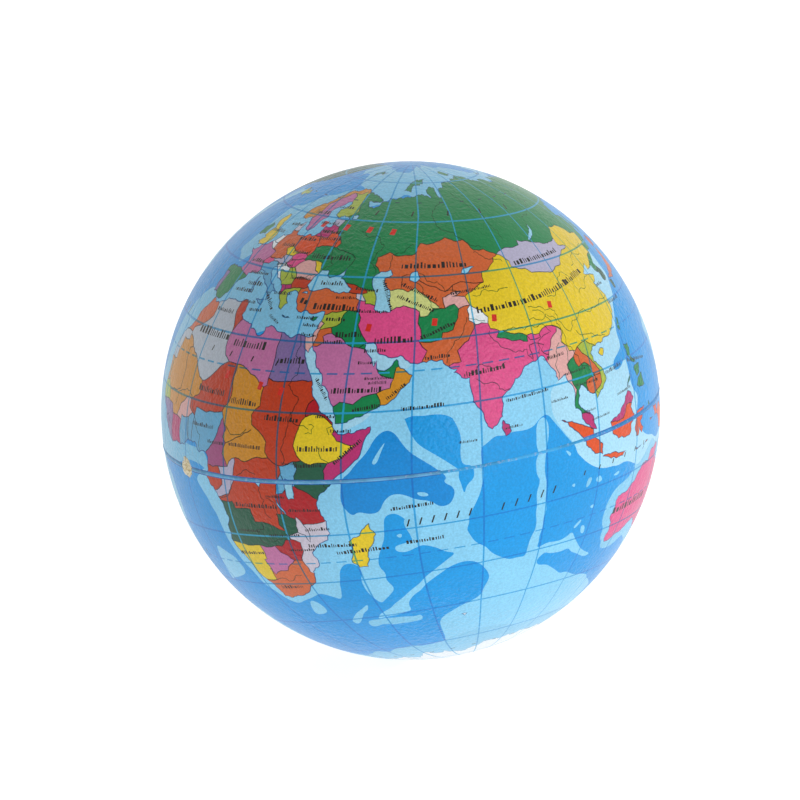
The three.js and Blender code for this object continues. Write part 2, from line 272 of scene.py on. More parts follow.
# Country borders, each drawn once, with its ends just past the coast.
BORDERS = (
    "-2 35.4, -1.4 32.4, -5 30, -8.7 28.6, -8.7 27.7, -13.8 27.7", "-8.7 27.7, -8.7 26, -12 26, -13 23, -13 21.2, -17.4 21",
    "-8.7 27.2, -4.8 25, 1.2 21, 4.2 19.2, 7.5 20.9, 12 24.2", "8 37.4, 7.6 34, 9 31.6, 9.1 27, 10 25.4, 12 24.2",
    "11.6 33.6, 10 31.8, 9.2 30.6", "12 24.2, 14.4 24, 16 24, 20 22.4, 24.6 20", "25.3 32, 25.4 28, 25.4 22, 25.4 20.4,"
    " 24.6 20, 24.6 16, 22.6 14, 23 12, 25 10.8, 27.2 8.6, 27 6.4, 27.8 5.2", "25.4 22, 37.4 22",
    "15.2 24, 15.6 19, 15.3 16, 13.6 14, 14.4 12, 15.6 10.4, 14.6 8.6, 15.6 7.4", "15.6 7.4, 18 8.4, 21 10, 23 10.9",
    "4.2 19.2, 4.2 16.4, 1 15, 1 13.2, 2.6 12.2, 3.6 11.7", "3.6 11.7, 4 13.6, 8 13, 11 13.4, 13.6 13.8",
    "14.2 12.8, 12.8 9.4, 11.2 6.8, 8.6 4.5", "3.6 11.7, 2.8 8, 2.6 6", "15.6 7.4, 14.6 5, 16.2 2.4, 13.2 2.2, 9.4 2.2",
    "16.2 2.4, 16.8 3.6, 18.8 4.6, 22.4 4.2, 25 5.2, 27.8 5.2", "18.6 3.8, 17.9 1, 17.8 -0.8, 15.8 -4.2, 12 -5.4",
    "13.2 2.2, 14 0, 14 -2, 11 -3.8", "27.8 5.2, 30.6 3.6, 31 2, 30 0, 29.6 -2, 29.2 -4.6, 29.6 -6.4, 30.8 -8.6",
    "31 1.6, 31.7 0, 32.2 -1.6, 31 -3, 29.4 -3.2", "30.8 -8.6, 28.8 -8.6, 28.6 -11.6, 29.8 -13.4, 27 -12, 24 -11",
    "12.2 -6, 16.4 -6, 17 -7.8, 21.6 -7.6, 22 -11, 24 -11, 24 -13, 22 -13.2, 22 -16.4, 23.6 -17.6",
    "11.4 -17.3, 14 -17.4, 20 -17.7, 25.4 -17.8, 27.4 -17.9, 29 -16, 30.6 -15.8", "21 -18, 21 -22, 20.2 -22, 20.2 -28.4,"
    " 17.6 -28.8, 16 -28.4", "20.2 -25, 21 -26.8, 23.6 -25.5, 25.8 -25.4, 27.4 -23.6, 29.2 -22.2",
    "25.4 -17.8, 26.4 -19.8, 29.2 -22.2, 31.4 -22.4, 32 -24.4, 32 -26, 33.2 -26.9", "30.6 -15.8, 32.8 -16.8,"
    " 32.8 -19.4, 31.4 -22.4", "30.6 -15.8, 30.4 -14.8, 33 -13.8, 33.2 -10, 30.8 -8.6", "33 -13.8, 34.6 -14.6,"
    " 35.4 -16.8, 35.8 -14.6, 34.8 -11.6, 33.4 -9.4", "34.8 -11.6, 38 -11.4, 40.8 -10.6", "34.2 -1, 37.6 -3.2, 39.6 -5",
    "31.6 -1, 34.2 -1, 34.2 1.4, 35 3, 34 4.6", "30.6 3.6, 34 4.6, 36 4.8, 38 3.8, 42 4.2, 41 2.6, 41 -1, 41.9 -2",
    "42 4.2, 45 5.2, 48 8, 44 9, 42.8 10.6, 43.6 11.6", "36 4.8, 35 5.8, 34 8, 34.6 10.6, 36.4 14.2, 36.8 17, 38.6 18.2",
    "36.4 14.2, 38 14.8, 40.4 14.4, 42.6 12.6", "-4.8 25, -6.4 24.6, -5.4 16, -9.4 15.4, -12.2 14.8, -14.4 16.6, -16.8 16",
    "-12.2 14.8, -11.4 12.4, -13.6 12.6, -17 12.4", "-11.4 12.4, -9 12.2, -8 10.4, -8.4 7.6, -7.4 4.2", "-13.6 9,"
    " -10.8 9.8, -10.4 8.4, -11.6 6.8", "-10.4 8.4, -8.4 7.6", "-8 10.4, -5.4 10.4, -3.6 13.2, -1 15, 1 15",
    "-5.4 10.4, -2.8 9.8, -2.9 5", "-2.8 9.8, -2.6 11, 0.8 11, 2.6 12.2", "0.4 11, 0.6 8, 1.3 6", "0.9 11, 1.7 6.1",
    "-9 41.9, -6.6 41.8, -7 39, -7.4 37", "-2 43.4, 0.6 42.7, 3.3 42.3", "2.4 51.3, 4.4 50, 6.2 49.4, 8.2 49, 7.6 47.6,"
    " 6.2 46.4, 7 45.2, 7.6 43.6", "3.2 51.5, 6 51, 7.2 53.6", "6 51, 6.2 49.4", "8.2 54.9, 10 54.8",
    "14.2 54.1, 14.8 51, 12.2 50.2, 13.8 48.8, 13 47.6, 9.8 47.5, 7.6 47.6", "7 45.9, 9 46, 10.5 46.8, 9.8 47.5",
    "10.5 46.8, 13.6 46.5, 16.2 46.9, 17.1 48, 16.9 48.7, 13.8 48.8", "14.8 51, 18.8 49.6, 22.6 49.2, 24 50.8,"
    " 23.6 53, 22.8 54.4, 19.6 54.6", "16.9 48.7, 18.8 49.6", "17.1 48, 19 47.9, 22.4 48.3, 22.8 48, 20.4 46.2, 18.8 45.9,"
    " 16.2 46.9", "13.6 46.5, 13.4 45.5, 15.8 46, 16.2 46.9", "15.8 45.2, 19 45, 19.2 43.4, 18.4 42.2", "15.8 45.2,"
    " 17.8 42.8", "18.8 45.9, 19 45", "22.4 48.3, 22.6 49.2", "20.8 55.8, 22.8 54.4, 25.8 54.4, 26.6 55.8, 21.2 56.2",
    "26.6 55.8, 28.2 56.2, 27.4 57.6, 24.2 57.9", "27.4 57.6, 28.2 59.6", "28.2 56.2, 31 54.8, 32.4 53.2, 31.6 52.1,"
    " 23.8 51.6", "31.6 52.1, 34.4 51.4, 40 49.6, 38.4 47", "22.8 48, 26.6 48.3, 28.2 46, 29.8 45.3", "26.6 48.3,"
    " 29.2 48, 30.4 46.2", "28.8 43.8, 26 43.9, 22.8 44, 22.4 44.7, 20.4 46.2", "22.8 44, 22.4 42.3, 23 41.3, 26.4 41.6,"
    " 28.2 42", "26.4 41.6, 26 40.5", "23 41.3, 21 40.9, 20 39.6", "19.2 42, 20.6 42, 21 40.9", "20.6 42, 22.4 42.3",
    "11.2 58.9, 12.3 61.6, 12.2 64, 15.4 66.4, 20.4 69", "24 65.6, 23.6 68, 20.4 69, 26 69, 28.4 70, 29 69, 31.2 70",
    "29 69, 29.8 66.6, 31.4 62.8, 27.6 60.4",
    "35.6 36, 38 36.8, 42.4 37.3, 44.8 37.2", "41.3 41.4, 43.6 41.1, 43.8 40, 44.8 39.6, 44.4 38, 44.8 37.2, 46 35.6,"
    " 45.6 34, 47.6 31, 48.6 29.9", "39.6 43.6, 43 43, 46.4 42, 48.8 41.8", "43.6 41.1, 46.6 41.3, 46.4 42", "45 41.2,"
    " 46.6 39.4, 46.6 38.8, 49.2 38.4", "46.6 39.4, 44.8 39.6", "35.6 34.7, 36.6 34.2, 35.8 32.8, 38.8 33.4, 41 34.4,"
    " 41.4 36.4, 42.4 37.3", "36.6 34.2, 35.8 33.2, 35 33", "35.8 32.8, 35.4 31, 34.9 29.3", "34.3 31.4, 34.9 29.4",
    "38.8 33.4, 39.2 32.1, 37 31.4, 37.6 30.2, 36 29.2, 34.8 29.2", "39.2 32.1, 42 31.1, 44.8 29.2, 46.6 29, 48.6 28.5",
    "46.6 29, 48 30.2", "42.6 16.4, 44 17.4, 47 16.8, 49 18.4, 52 19, 55 20, 55.6 22, 52.6 22.9, 51.6 24.3",
    "52 19, 53.2 16", "55.6 22, 56 24.4, 56.8 24.6", "53.4 37.2, 57 38.2, 59 37.6, 61.2 36.6, 60.8 34, 61.6 31, 61 29.8,"
    " 63 27.6, 61.6 24.8", "52.6 41.8, 55 42.2, 58 41.4, 60 42.4, 62 40.8, 64.6 38.8, 66.4 37.4", "61.2 36.6, 61.4 35.4,"
    " 63.4 35.6, 65 37.2, 68 37, 70.6 37.8, 71.6 36.6, 74.8 37.2", "56 42, 56 45.2, 58.6 45.6", "61 44.2, 62.4 43.4,"
    " 66 42.2, 68.4 41, 70.8 42.4, 74 43, 80.2 42.4", "70.8 42.4, 70.6 40.8, 73 40.6, 70 39.6, 73.8 39.4", "70.6 40.8,"
    " 67.6 39.6, 68 37", "61 29.8, 66.4 29.8, 66.8 31.4, 69.4 31.8, 71 34.4, 71.6 36.6", "67.8 23.6, 71 24.4, 70.2 27,"
    " 73 29, 74.6 31.4, 75.4 32.4, 73.8 33.6, 73.8 36.2, 74.8 37.2", "75.4 32.4, 78.6 32.4, 79 33.8, 77.6 35.6, 74.8 37.2",
    "78.6 32.4, 79 31, 81.2 30.2, 80.2 28.8, 84 27.4, 88.2 26.5, 88.2 28", "81.2 30.2, 84 29.2, 88.2 28, 89.6 28.2,"
    " 91.8 27.8, 94.4 29.2, 97.4 28.4", "88.2 28, 89 26.8, 92 26.9, 91.8 27.8", "97.4 28.4, 97 27.2, 94.8 25.8, 93.4 23,"
    " 92.4 20.6", "88.8 21.4, 88.4 25.6, 90 25.9, 92.4 25, 91.4 23.8, 92.6 22.6", "97.4 28.4, 98.6 27.4, 97.6 24.6,"
    " 99 23.4, 99.4 22, 101.2 21.6, 100.2 20.4, 97.8 19, 98.6 16, 98.4 14.6, 99.4 12.6, 98.4 10", "101.2 21.6, 102.2 22.4,"
    " 105.4 23.2, 106.8 22, 108.2 21.2", "102.2 22.4, 103.2 20.6, 105.4 18.6, 107.6 15.4, 107.6 12.2, 105.8 11, 104.2 10.3",
    "100.2 20.4, 101.2 17.6, 103.2 18.3, 104.8 16.8, 105.6 14.4, 107.6 14.4", "105.6 14.4, 102.6 13.8, 102.8 11.6",
    "99.8 6.6, 102.4 5.8", "80.2 42.4, 80.4 45, 82.6 45.3, 85.4 47.2, 85.8 48.4, 87.6 49.1", "80.2 42.4, 76 40.4,"
    " 73.8 39.4, 74.8 37.2", "87.6 49.1, 92 50.6, 98 50.6, 98.4 52, 102 51.4, 106 50.3, 110 49.3, 116.6 49.9",
    "87.6 49.1, 91 46.8, 91 45.2, 95.4 44.2, 97 42.8, 105 41.7, 110 42.8, 112 44.6, 116 46.3, 119.6 46.8, 116 47.8,"
    " 116.6 49.9", "116.6 49.9, 120.4 53.2, 125.4 53, 130.6 48.9, 134.8 48.4, 133 45.2, 131.2 44.8, 130.7 42.2",
    "130.7 42.2, 128 42, 124.2 39.8", "126.2 37.7, 128.8 38.5", "49.2 46.2, 47.2 48, 47.4 50, 51 51.4, 59.6 50.8,"
    " 61.4 53.8, 70.4 55.2, 73.6 54, 76.8 54.2, 80 51, 83.6 51, 87.6 49.1", "109.4 1.6, 111.6 1.2, 114 1.4, 115.8 4.2,"
    " 118 4", "141 -2.4, 141 -9.4",
    "-127.4 48.9, -95.2 49, -89 48.2", "-89 48.2, -84.8 46.5, -82.8 45.4, -82.6 42.6, -79 42.8, -74.8 45, -71.4 45, -69 47.4,"
    " -67.4 43", "-141 70, -141 60.2, -135 59.2, -130 55", "-117.4 32.5, -114.6 32.4, -111 31.3, -106.4 31.6, -102 29.6,"
    " -99.4 27.4, -97 25.8", "-92.4 14.4, -91 17.6, -88 18.4", "-89.6 13.6, -89 15.2, -88.2 16", "-87.6 12.8, -83 15",
    "-85.8 11.2, -83.4 10.8", "-83 8.4, -82.4 9.4", "-77.8 7, -77.3 8.8", "-71.2 12.2, -72.6 8.4, -67.4 6.2, -66.9 1.2,"
    " -69.6 1, -70 -4.2, -73.6 -7.2, -70.6 -9.8, -69.4 -11", "-70 -4.2, -75.2 -0.2, -78.8 1.6", "-75.2 -0.2, -80.4 -3.6",
    "-69.4 -11, -65.4 -10.2, -60.2 -14, -58 -18, -58 -20.2, -57.8 -22, -54.4 -24, -54.6 -25.6, -53.8 -27.2, -57.6 -30.2,"
    " -58.4 -34", "-69.4 -11, -69 -15.4, -70.6 -18.4", "-69.4 -17.6, -67.4 -22.6, -68.6 -26, -70 -32, -71.4 -38,"
    " -72 -46, -72 -51.4, -68.4 -52.4", "-67.4 -22.6, -62.6 -22.2, -61.8 -19.8, -58 -20.2", "-62.6 -22.2, -58 -25,"
    " -58.6 -27.4, -54.6 -25.6", "-57.6 -30.2, -53.2 -33.8", "-59.8 8.2, -60.8 5, -64 2.4, -66.9 1.2", "-60.8 5,"
    " -59.6 1.8, -54.6 2.2, -51.4 4.2", "-57.2 6, -56.6 1.9", "-54 5.8, -54.6 2.2",
)

RIVERS = (
    "31 31.4, 31.2 27, 32.8 25.4, 32.8 23, 31 20.8, 32.6 19, 34 18.4, 33.4 16, 32.4 13, 32 10, 31 7, 31.6 4",
    "32.6 15.2, 34.6 12.4, 37.4 11.6", "36.6 10.6, 38.2 10.6, 38.6 12.2, 37.4 12.6", "12.4 -5.8, 16 -3.6, 18 0.4,"
    " 21 2, 24.4 1.4", "25.2 -1.6, 26 -5, 25.6 -8.6, 27 -10", "26.6 -4.4, 28.8 -6, 28.4 -9", "6.4 4.6, 6.4 8, 3.6 12,"
    " 0 16.4, -3.6 16, -7 12.4", "15 11.2, 18 9.4, 21.6 11", "28.2 -16, 25.6 -16.6, 23 -14", "29 -27, 24 -29,"
    " 17 -28.6", "42.2 10.4, 41.6 11.8, 43 12.4", "39.6 7.8, 40.6 5.2, 42.4 4.2", "51.8 47, 52 50.6, 56 51.4, 59 53.6",
    "48 46, 45.4 48.6, 48.6 53, 45 56, 38 57", "61.2 45.8, 66.4 43.6, 68.4 41, 73 40.8", "60.2 43.6, 62.6 40, 67 37.2",
    "72.4 67, 66 62, 69 58, 74 56.6, 78 53.4, 83 51.4", "82 70, 87 64, 91 58, 93 53", "127 71.6, 124 64, 129 62,"
    " 118 59.4, 108 55", "67.6 24.4, 68.6 27.4, 71.4 30.4, 73.4 34.4, 78 33", "88.6 22.2, 87.6 24.8, 83 25.6, 79.4 28.2,"
    " 78.6 30.6", "90.6 23, 91 26, 95.4 27.6, 94 29.4, 88 29.4, 82 30.2", "73 21.4, 77 22.6, 81.6 22.8", "82 16.6,"
    " 78 18.8, 74.4 20", "95 16.4, 95.2 20.6, 97 24.6", "97.8 16.8, 98.8 22, 99 27, 95 32.4, 92 33.6", "106 10, 105.6 15,"
    " 102 18, 100.6 22, 98.6 28, 95.6 32, 90 31.4", "121.4 31.4, 117 31, 113.6 29.8, 109 30.6, 106 29.4, 101.6 26.4,"
    " 99.6 28.6, 97.6 33, 91 34.6", "118.6 37.8, 114.6 35.2, 110.6 34.6, 110.4 38.6, 107.4 41, 104.6 38, 101.4 35.8,"
    " 98.4 36", "113.4 22.6, 110 23.4, 105 24.6, 103.4 26.2", "114.6 41.6, 120 44.6, 123.6 43.4", "124.2 48.6, 125 45.4,"
    " 131 47.6", "76 39.4, 80 40.6, 87 40.2", "79.6 50.4, 84.2 48, 88.6 47", "30.2 60, 30 56", "30.8 46.4, 33.4 47.8,"
    " 31 50.6, 31 54", "28.8 45.2, 25 43.8, 20.4 45, 19 47.8, 13 48.4", "-91 29.4, -91 34, -90 38.6, -93 45",
    "-90 38.6, -98 42, -108 47.6", "-50.4 -0.6, -58 -2.6, -66 -3.2, -73.4 -4", "-58.4 -34, -58.6 -27.6, -52 -20.6",
    "-134.6 68.6, -127 65, -117 61.4", "-164.4 62.6, -156 64.6, -145.4 66, -136 62.4", "138.8 -35.2, 142 -34.4, 148 -36",
)

# Sea bed tones laid over the deep sea in this order: each row is an ink and its outline.
SEA_BED: tuple[tuple[str, str], ...] = (
    ("ridge", "40 -3, 40 28, 62 30, 100 28, 100 8, 98.5 -2.5, 97 0, 95 2.5, 92.5 6, 90.6 9, 88.6 8.3, 87 6.6, 82 6.6,"
              " 80 6, 78 6.5, 76 5, 74.8 4.4, 75 0, 75.2 -3, 74.4 -7, 73 -11, 71.6 -14, 71 -18, 72.6 -22, 75.5 -24.8,"
              " 77 -27.5, 80 -30, 82 -31.2, 86.4 -31.4, 87 -25, 87.7 -15, 88.3 -8, 88 0, 88.3 8, 89.9 8.4, 89.8 0,"
              " 89.9 -12, 89.7 -20, 89.3 -25, 89.2 -29.6, 92 -28.4, 96 -29, 99.5 -27, 101 -29.5, 103.4 -32.6,"
              " 106 -35, 111 -37.6, 109 -38.2, 104 -35.6, 100 -32.6, 92 -31.6, 90 -34, 91 -36, 94 -36.6, 98 -39.6,"
              " 101 -42, 105 -42.6, 111 -45, 120 -48, 130 -52, 134 -60, 60 -60, 61 -50, 66 -47, 72 -44.8, 74.8 -43,"
              " 75.6 -40, 77 -36.6, 76.4 -34, 74.4 -30.6, 70 -28.4, 67 -29.2, 64 -31.4, 60 -34.4, 56 -38, 53.6 -41,"
              " 53.8 -44.4, 49 -45.4, 42 -46, 46 -43, 50 -40.4, 53 -38.4, 57 -35, 60 -32, 63 -29.5, 66 -27,"
              " 68.4 -25, 64 -22.2, 61 -20.6, 59.5 -21.2, 57 -22.4, 54.8 -21.8, 54.6 -20, 57 -19.4, 59.6 -19,"
              " 59.8 -16, 58.6 -13.4, 57.4 -11.4, 55.6 -9.8, 53.4 -10.6, 53 -14, 51.6 -20, 50.4 -22.8, 49.8 -26,"
              " 51 -28.6, 50.4 -31, 52 -34.4, 49.6 -37, 46.4 -39.6, 45 -37, 44.2 -34, 44.2 -30, 45.2 -26, 44.4 -24.4,"
              " 42 -24, 40 -26, 39 -29, 37.6 -33, 36 -36.6, 34 -35.2, 31 -33.6, 27 -35.2, 24 -36, 20.8 -37.2,"
              " 18 -35.6, 16 -32.4, 13.6 -29, 12 -24, 10.6 -19, 10 -14, 9.4 -10, 7.6 -6.4, 4 -2, 12 2, 30 -10"),
    ("far deep", "45 0.6, 48 3.6, 50.6 6.2, 52.2 9.4, 54.4 11, 56.4 10.2, 58 7.6, 59.6 5.5, 62 3.6, 65 1.2, 67.4 -1.4,"
             " 66.4 -2.8, 68.6 -4.6, 68.8 -7, 67.6 -9.6, 65.4 -9.8, 63.6 -7.6, 60.6 -6.8, 58 -4.8, 55.6 -4.4, 53.8 -6,"
             " 52.6 -9.2, 50.4 -9.6, 48 -8.6, 46.6 -9.8, 45 -7.4, 44.6 -3"),
    ("deep", "58 14.2, 61 14.4, 65 13.8, 68.2 13, 69.6 10.4, 70.6 7.4, 70.2 4, 70.6 1, 73 0.6, 73.2 -3, 71.4 -4.6,"
             " 70.8 -7.4, 70.2 -4, 70 0, 68.4 1.4, 66.6 3, 64 5, 61.4 7, 60 9.2, 59 11.6"),
    ("ridge", "60.6 -4.6, 62.8 -5, 63.4 -6.2, 61.4 -6"), ("ridge", "51.4 3.6, 53 6.4, 54.6 8.6, 53.6 6.2, 52.6 3.4"),
    ("shelf", "54.6 -6, 56.4 -5.2, 58.6 -6, 60.4 -8.2, 58.6 -10.6, 57.2 -9, 55.2 -8.6"),
    ("shelf", "57.4 -12, 60 -10.2, 61.6 -13.6, 60.6 -18, 59 -20.6, 58.6 -17"), ("ridge", "55.2 -16.6, 56.8 -16.2, 56.4 -17.8"),
    ("ridge", "23 -41.6, 24.2 -38.4, 26 -35.8, 28.2 -37.4, 28.6 -40.6, 26 -41.8"),
    ("ridge", "33 -45.6, 37 -42.4, 42.4 -39.2, 41.4 -41.6, 37.6 -44.6, 34 -47"),
    ("shelf", "38 -46.4, 47 -46.2, 56 -46.4, 56 -48.4, 46 -48.8, 38 -48.4"), ("ridge", "3 -19, 9 -22, 10 -26, 6 -28, -2 -30"),
    ("ridge", "102 -25.8, 103.6 -26.4, 104 -29, 102.6 -28.6"), ("ridge", "99.4 -25.6, 101.6 -23.6, 101.6 -24.8, 100 -26.4"),
    ("shelf", "101 -14.4, 101.6 -11.4, 103 -11.6, 102.4 -13.6"), ("ridge", "104 -12.6, 105.4 -11.6, 106.6 -13.6, 105 -14"),
    ("ridge", "110 -13.6, 113 -12.6, 112.6 -14"), ("ridge", "119 -13.8, 121.4 -12.8, 121 -14.6"),
    ("ridge", "96.6 -12, 97.8 -11.6, 97.6 -13"), ("ridge", "94.6 -1, 96.4 -2.4, 96 -3.6"), ("ridge", "103.4 -20.6, 105 -20, 104.8 -21.6"),
    ("pale sea", "98 -3, 96.6 1, 94 4.6, 92 8, 92 14, 97 18, 105 24, 123 31, 124 42, 132 44, 131 35, 126 30, 122 27,"
              " 118.6 22, 118.6 18.4, 116 17, 113.6 16, 112.6 13.6, 116 13.4, 119 16, 119 9, 121.6 5, 119.4 0,"
              " 124 -6, 130 -8, 136 -10, 145 -10, 145 -14, 130 -14.4, 122 -14, 117 -11.6, 112 -11.2, 107 -10.4,"
              " 103.6 -9, 100.6 -6.4"),
    ("shelf", "120 -14.4, 115 -17, 111.4 -19, 110 -22, 110 -26, 112 -29.6, 112.4 -33, 115 -36.6, 119.6 -38, 127 -36,"
              " 135 -39, 143 -44, 150 -45, 156 -36, 157 -26, 150 -16, 146 -10, 130 -9"),
    ("pale sea", "105.6 -5, 108 -1, 106 1.6, 101.6 6, 100 9, 100 14, 104 16, 108 12, 111 9, 114 6.6, 118 8, 119 4,"
                " 120 -1, 118 -6, 113 -7, 108 -6.4"),
    ("pale sea", "108 22, 112 21, 118 24, 122 29, 126 32, 126 40, 116 42, 110 30"),
    ("ridge", "56 26, 66 26, 74 20, 74 8, 71 9, 69 12, 60 13.6, 52 13.4, 50 16"),
    ("shallow", "29 33, 38 13, 44 11, 51 14, 60 25, 56 31, 46 31, 38 24, 33 31"),
    ("shelf", "-8 36, -2 44, 8 46, 16 47, 30 48, 44 47, 56 48, 56 36, 38 36, 36 30, 10 30, -6 34"),
    ("shelf", "-12 47, -10 60, 0 64, 12 69, 30 74, 60 75, 70 72, 60 68, 30 64, 30 52, 10 50, 0 48, -6 44"),
    ("shelf", "-20 -2, -24 14, -20 30, -9 38, -6 36, -4 30, -12 16, -6 6, 8 5, 10 0, 4 2, -8 0"),
    ("ridge", "-22 66, -30 58, -34 50, -30 40, -42 32, -48 22, -40 10, -24 2, -12 -4, -14 -20, -14 -36, -4 -52,"
              " -10 -54, -20 -40, -20 -18, -18 -4, -32 2, -46 10, -54 24, -46 36, -36 42, -38 54, -32 66"),
    ("ridge", "-110 20, -104 6, -106 -12, -110 -30, -114 -46, -130 -56, -126 -60, -108 -50, -102 -32, -98 -10, -96 6,"
              " -104 20"),
    ("shelf", "-50 48, -62 42, -74 36, -79 29, -82 22, -96 20, -99 28, -84 32, -70 46, -60 52"),
    ("shelf", "-84 14, -76 13, -60 18, -58 12, -46 4, -34 -4, -33 -10, -38 -24, -48 -36, -54 -48, -56 -56, -70 -57,"
              " -76 -52, -68 -40, -60 -36, -50 -20, -40 -8, -50 0, -62 8, -78 9"),
    ("ridge", "-178 52, -160 50, -138 54, -134 58, -150 62, -170 62, -186 54, -190 50"),
    ("ridge", "150 24, 158 10, 168 2, 180 -4, 186 -14, 180 -20, 172 -30, 176 -44, 164 -46, 160 -30, 154 -12, 144 6, 138 18"),
    ("ridge", "-160 24, -150 18, -156 16, -170 22, -180 28, -182 32"), ("ridge", "-150 -14, -138 -20, -132 -24, -146 -20, -156 -16"),
    ("shelf", "-60 80, 0 84, 60 83, 120 84, 180 80, 178 70, 120 72, 60 68, 40 68, 20 72, 0 78, -40 82"),
    ("shelf", "-180 -62, -120 -66, -60 -58, 0 -62, 60 -60, 120 -60, 180 -62, 180 -90, -180 -90"),
)

# Names on the print become rows of plain tick marks: start, end and height in degrees.
NAME_ROWS = (
    "-5 28.4 8 28.4 1.8", "11.5 27.6 22 27.6 1.7", "26.7 25.2 34 25.4 1.5", "3.6 17.2 12.8 17 1.3",
    "16 15.9 23 15.8 1.3", "26.2 13.2 34.2 13 1.2", "35 6.8 43.8 6.8 1.2", "34.4 3.2 40.6 3.4 1",
    "43.6 3.8 49.4 8.6 0.9", "16.5 7 25.4 6.8 0.8", "3.4 9.8 11 9.8 0.9", "9.4 6.8 14.6 6.8 0.8",
    "41.7 19.2 52.8 19.3 1.2", "47 15.2 53 16 0.9", "54.6 17.4 58.4 20.2 0.9", "50.2 29.8 59.2 29.8 1.5",
    "40.2 31.2 46.6 31.4 1.2", "27.6 38.4 29 38.2 1.5", "32.2 37.2 43.8 37.2 1.4", "36.8 34.8 42 34.8 0.9",
    "32 42.8 38.8 42.9 1", "15 39.6 19.4 36 1", "24.5 48.8 38 48.9 1.3", "50.4 44.2 53.6 36.8 0.8",
    "37.4 22.2 40.6 17.8 0.8", "48 27.9 53.2 28 0.8", "47 25.4 51 25.4 0.7", "49 22 55 22 0.7", "50 21 54 21 0.7",
    "76.4 35 88.4 35.4 1.6", "89.6 35.4 103 36.8 1.6", "104.2 37 107 37.4 1.6", "107.8 37.6 116.6 39 1.6",
    "92.6 45.4 112 46.2 1.4", "55.6 47.2 75.8 46.8 1.6", "55 40.2 64.6 36.4 0.9", "70 40 82 41 0.8", "56 43 66 38.6 0.9",
    "61.6 30.2 69.8 33 0.9", "62.6 25.6 68.6 25.8 0.9", "71.6 20.8 81 21.4 1.2", "57.6 14.8 66.8 15 0.9",
    "81 13.6 91.4 14.2 0.8", "80.2 7.4 84.4 7.5 0.6", "70 6 74 6 0.6", "96.4 16.5 103 16.7 0.8", "99 13.2 106 13 0.8",
    "100 6.3 104.4 6.4 0.6", "103 3.9 109 4 0.6", "109.6 13.6 116 14.2 0.9", "120 34.2 124.2 34.2 0.9",
    "121 29 128 29 0.9", "119.6 14 129 12.4 0.9", "112.6 7.4 118.4 7.8 0.7", "55 -9.2 64 -8.8 1", "57.4 -19.8 65.8 -19.6 1.1",
    "41 -21 53.2 -20.6 1.2", "34.6 -18.4 46 -18.8 1.1", "35 -13.6 40.6 -13.4 1", "31.8 -8 39.4 -8 0.8",
    "17 -7.2 29 -7.2 1.1", "16 -14 23 -14 0.8", "25 -15.1 33 -15 0.8", "13 -20.8 21 -20.4 1", "29 -19.4 35.6 -19.4 0.8",
    "20 -31.6 27 -31.4 1.1", "26.6 -4.2 31 -4.4 0.7", "31.2 3.8 35 3.8 0.7", "6 40.6 12 40.8 1.1", "38.8 14 43 14 0.7",
    "42.4 10.9 46.8 10.8 0.7", "91.6 21.2 97.6 21.5 0.8", "92 11 96.6 11.2 0.6", "12 35.2 16 35.4 0.8", "19.6 34.8 23 33.4 0.7",
    "28.4 34.9 33 34.9 0.8", "30.8 33.4 35.4 33.3 0.7", "31 31.4 35 31.2 0.7", "37.4 29.8 42.4 29.9 0.8",
    "43 42 49.4 41.4 0.8", "38 39.8 44 39.8 0.7", "44 36.8 52.6 36.6 0.8", "21 43.4 28 43.6 0.8", "18 39.6 24 39.8 0.8",
    "2 38.8 10 39 1", "8 36.8 13 36.8 0.7", "0.6 45.6 6 45.8 0.9", "4 43 12 43.4 0.8", "12.8 46 19 46.2 0.7",
    "16 49.4 22.6 49.6 0.9", "9 50.6 14 50.8 1", "14.4 52.8 21.4 53 1.1", "22 55.4 31 55.6 0.9", "18 57.8 26 58 0.8",
    "10 60.4 17 60.6 1", "20 63 27 63.2 0.9", "4 56 10 56.2 0.9", "-4 53.4 4 53.6 1", "22.6 53.6 31.6 53.8 1",
    "-1 33.8 6 33.8 1", "114 -26 131 -25.6 2.2", "-112 39.4 -84 39.4 2.2", "-118 57 -88 57 2.2", "-64 -8.4 -44 -8.4 2",
    "-68 -33.6 -60 -33.6 1.2", "-106 24.6 -98 21.4 1.2", "-76 4 -70 4 1",
)
# Wide-set marks in place of the big sea names: start, end, height and number of marks.
SEA_NAME_ROWS = (
    "58.4 -14.4 72 -13.9 2.2 6", "79.4 -14.1 92 -12.8 2.2 5", "100.4 -10.2 124 -9.2 1.3 6", "-46 30 -18 30 2.2 8",
    "-36 -24 -8 -24 2.2 8", "-170 12 -128 12 2.6 7", "150 34 172 34 2.2 5", "40.6 61.8 107.6 61.8 1.7 5",
    "4.4 25.6 26.6 24.6 1.2 4",
)
RED_MARKS = "12.8 21.6, 23.6 20.2, 29.4 19.4, 48.4 33.4, 65 34, 80.6 33.4, 98 34, 20 57.8, 31 57.6, 41 57.4, 50.6 57, -60 -14, -98 48"


@dataclass
class BallSizes:
    """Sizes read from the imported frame, in metres."""

    radius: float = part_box("north_skin")[1][2]
    flash_half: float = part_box("parting_flash")[1][2]
    crest_radius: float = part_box("parting_flash")[1][0]
    skin: float = 0.9 * MM
    gate_radius: float = 1.6 * MM
    squeeze_travel: float = 11 * MM

    @property
    def rim_latitude(self) -> float:
        """Latitude in degrees where each printed half meets the flash."""
        return math.degrees(math.asin(self.flash_half / self.radius))

    @property
    def squeezed_share(self) -> float:
        """Height of a half at full squeeze, as a share of its height at rest."""
        return 1 - self.squeeze_travel / self.radius

    def degrees(self, length: float) -> float:
        """Arc on the ball's surface, in degrees, that is this long."""
        return math.degrees(length / self.radius)


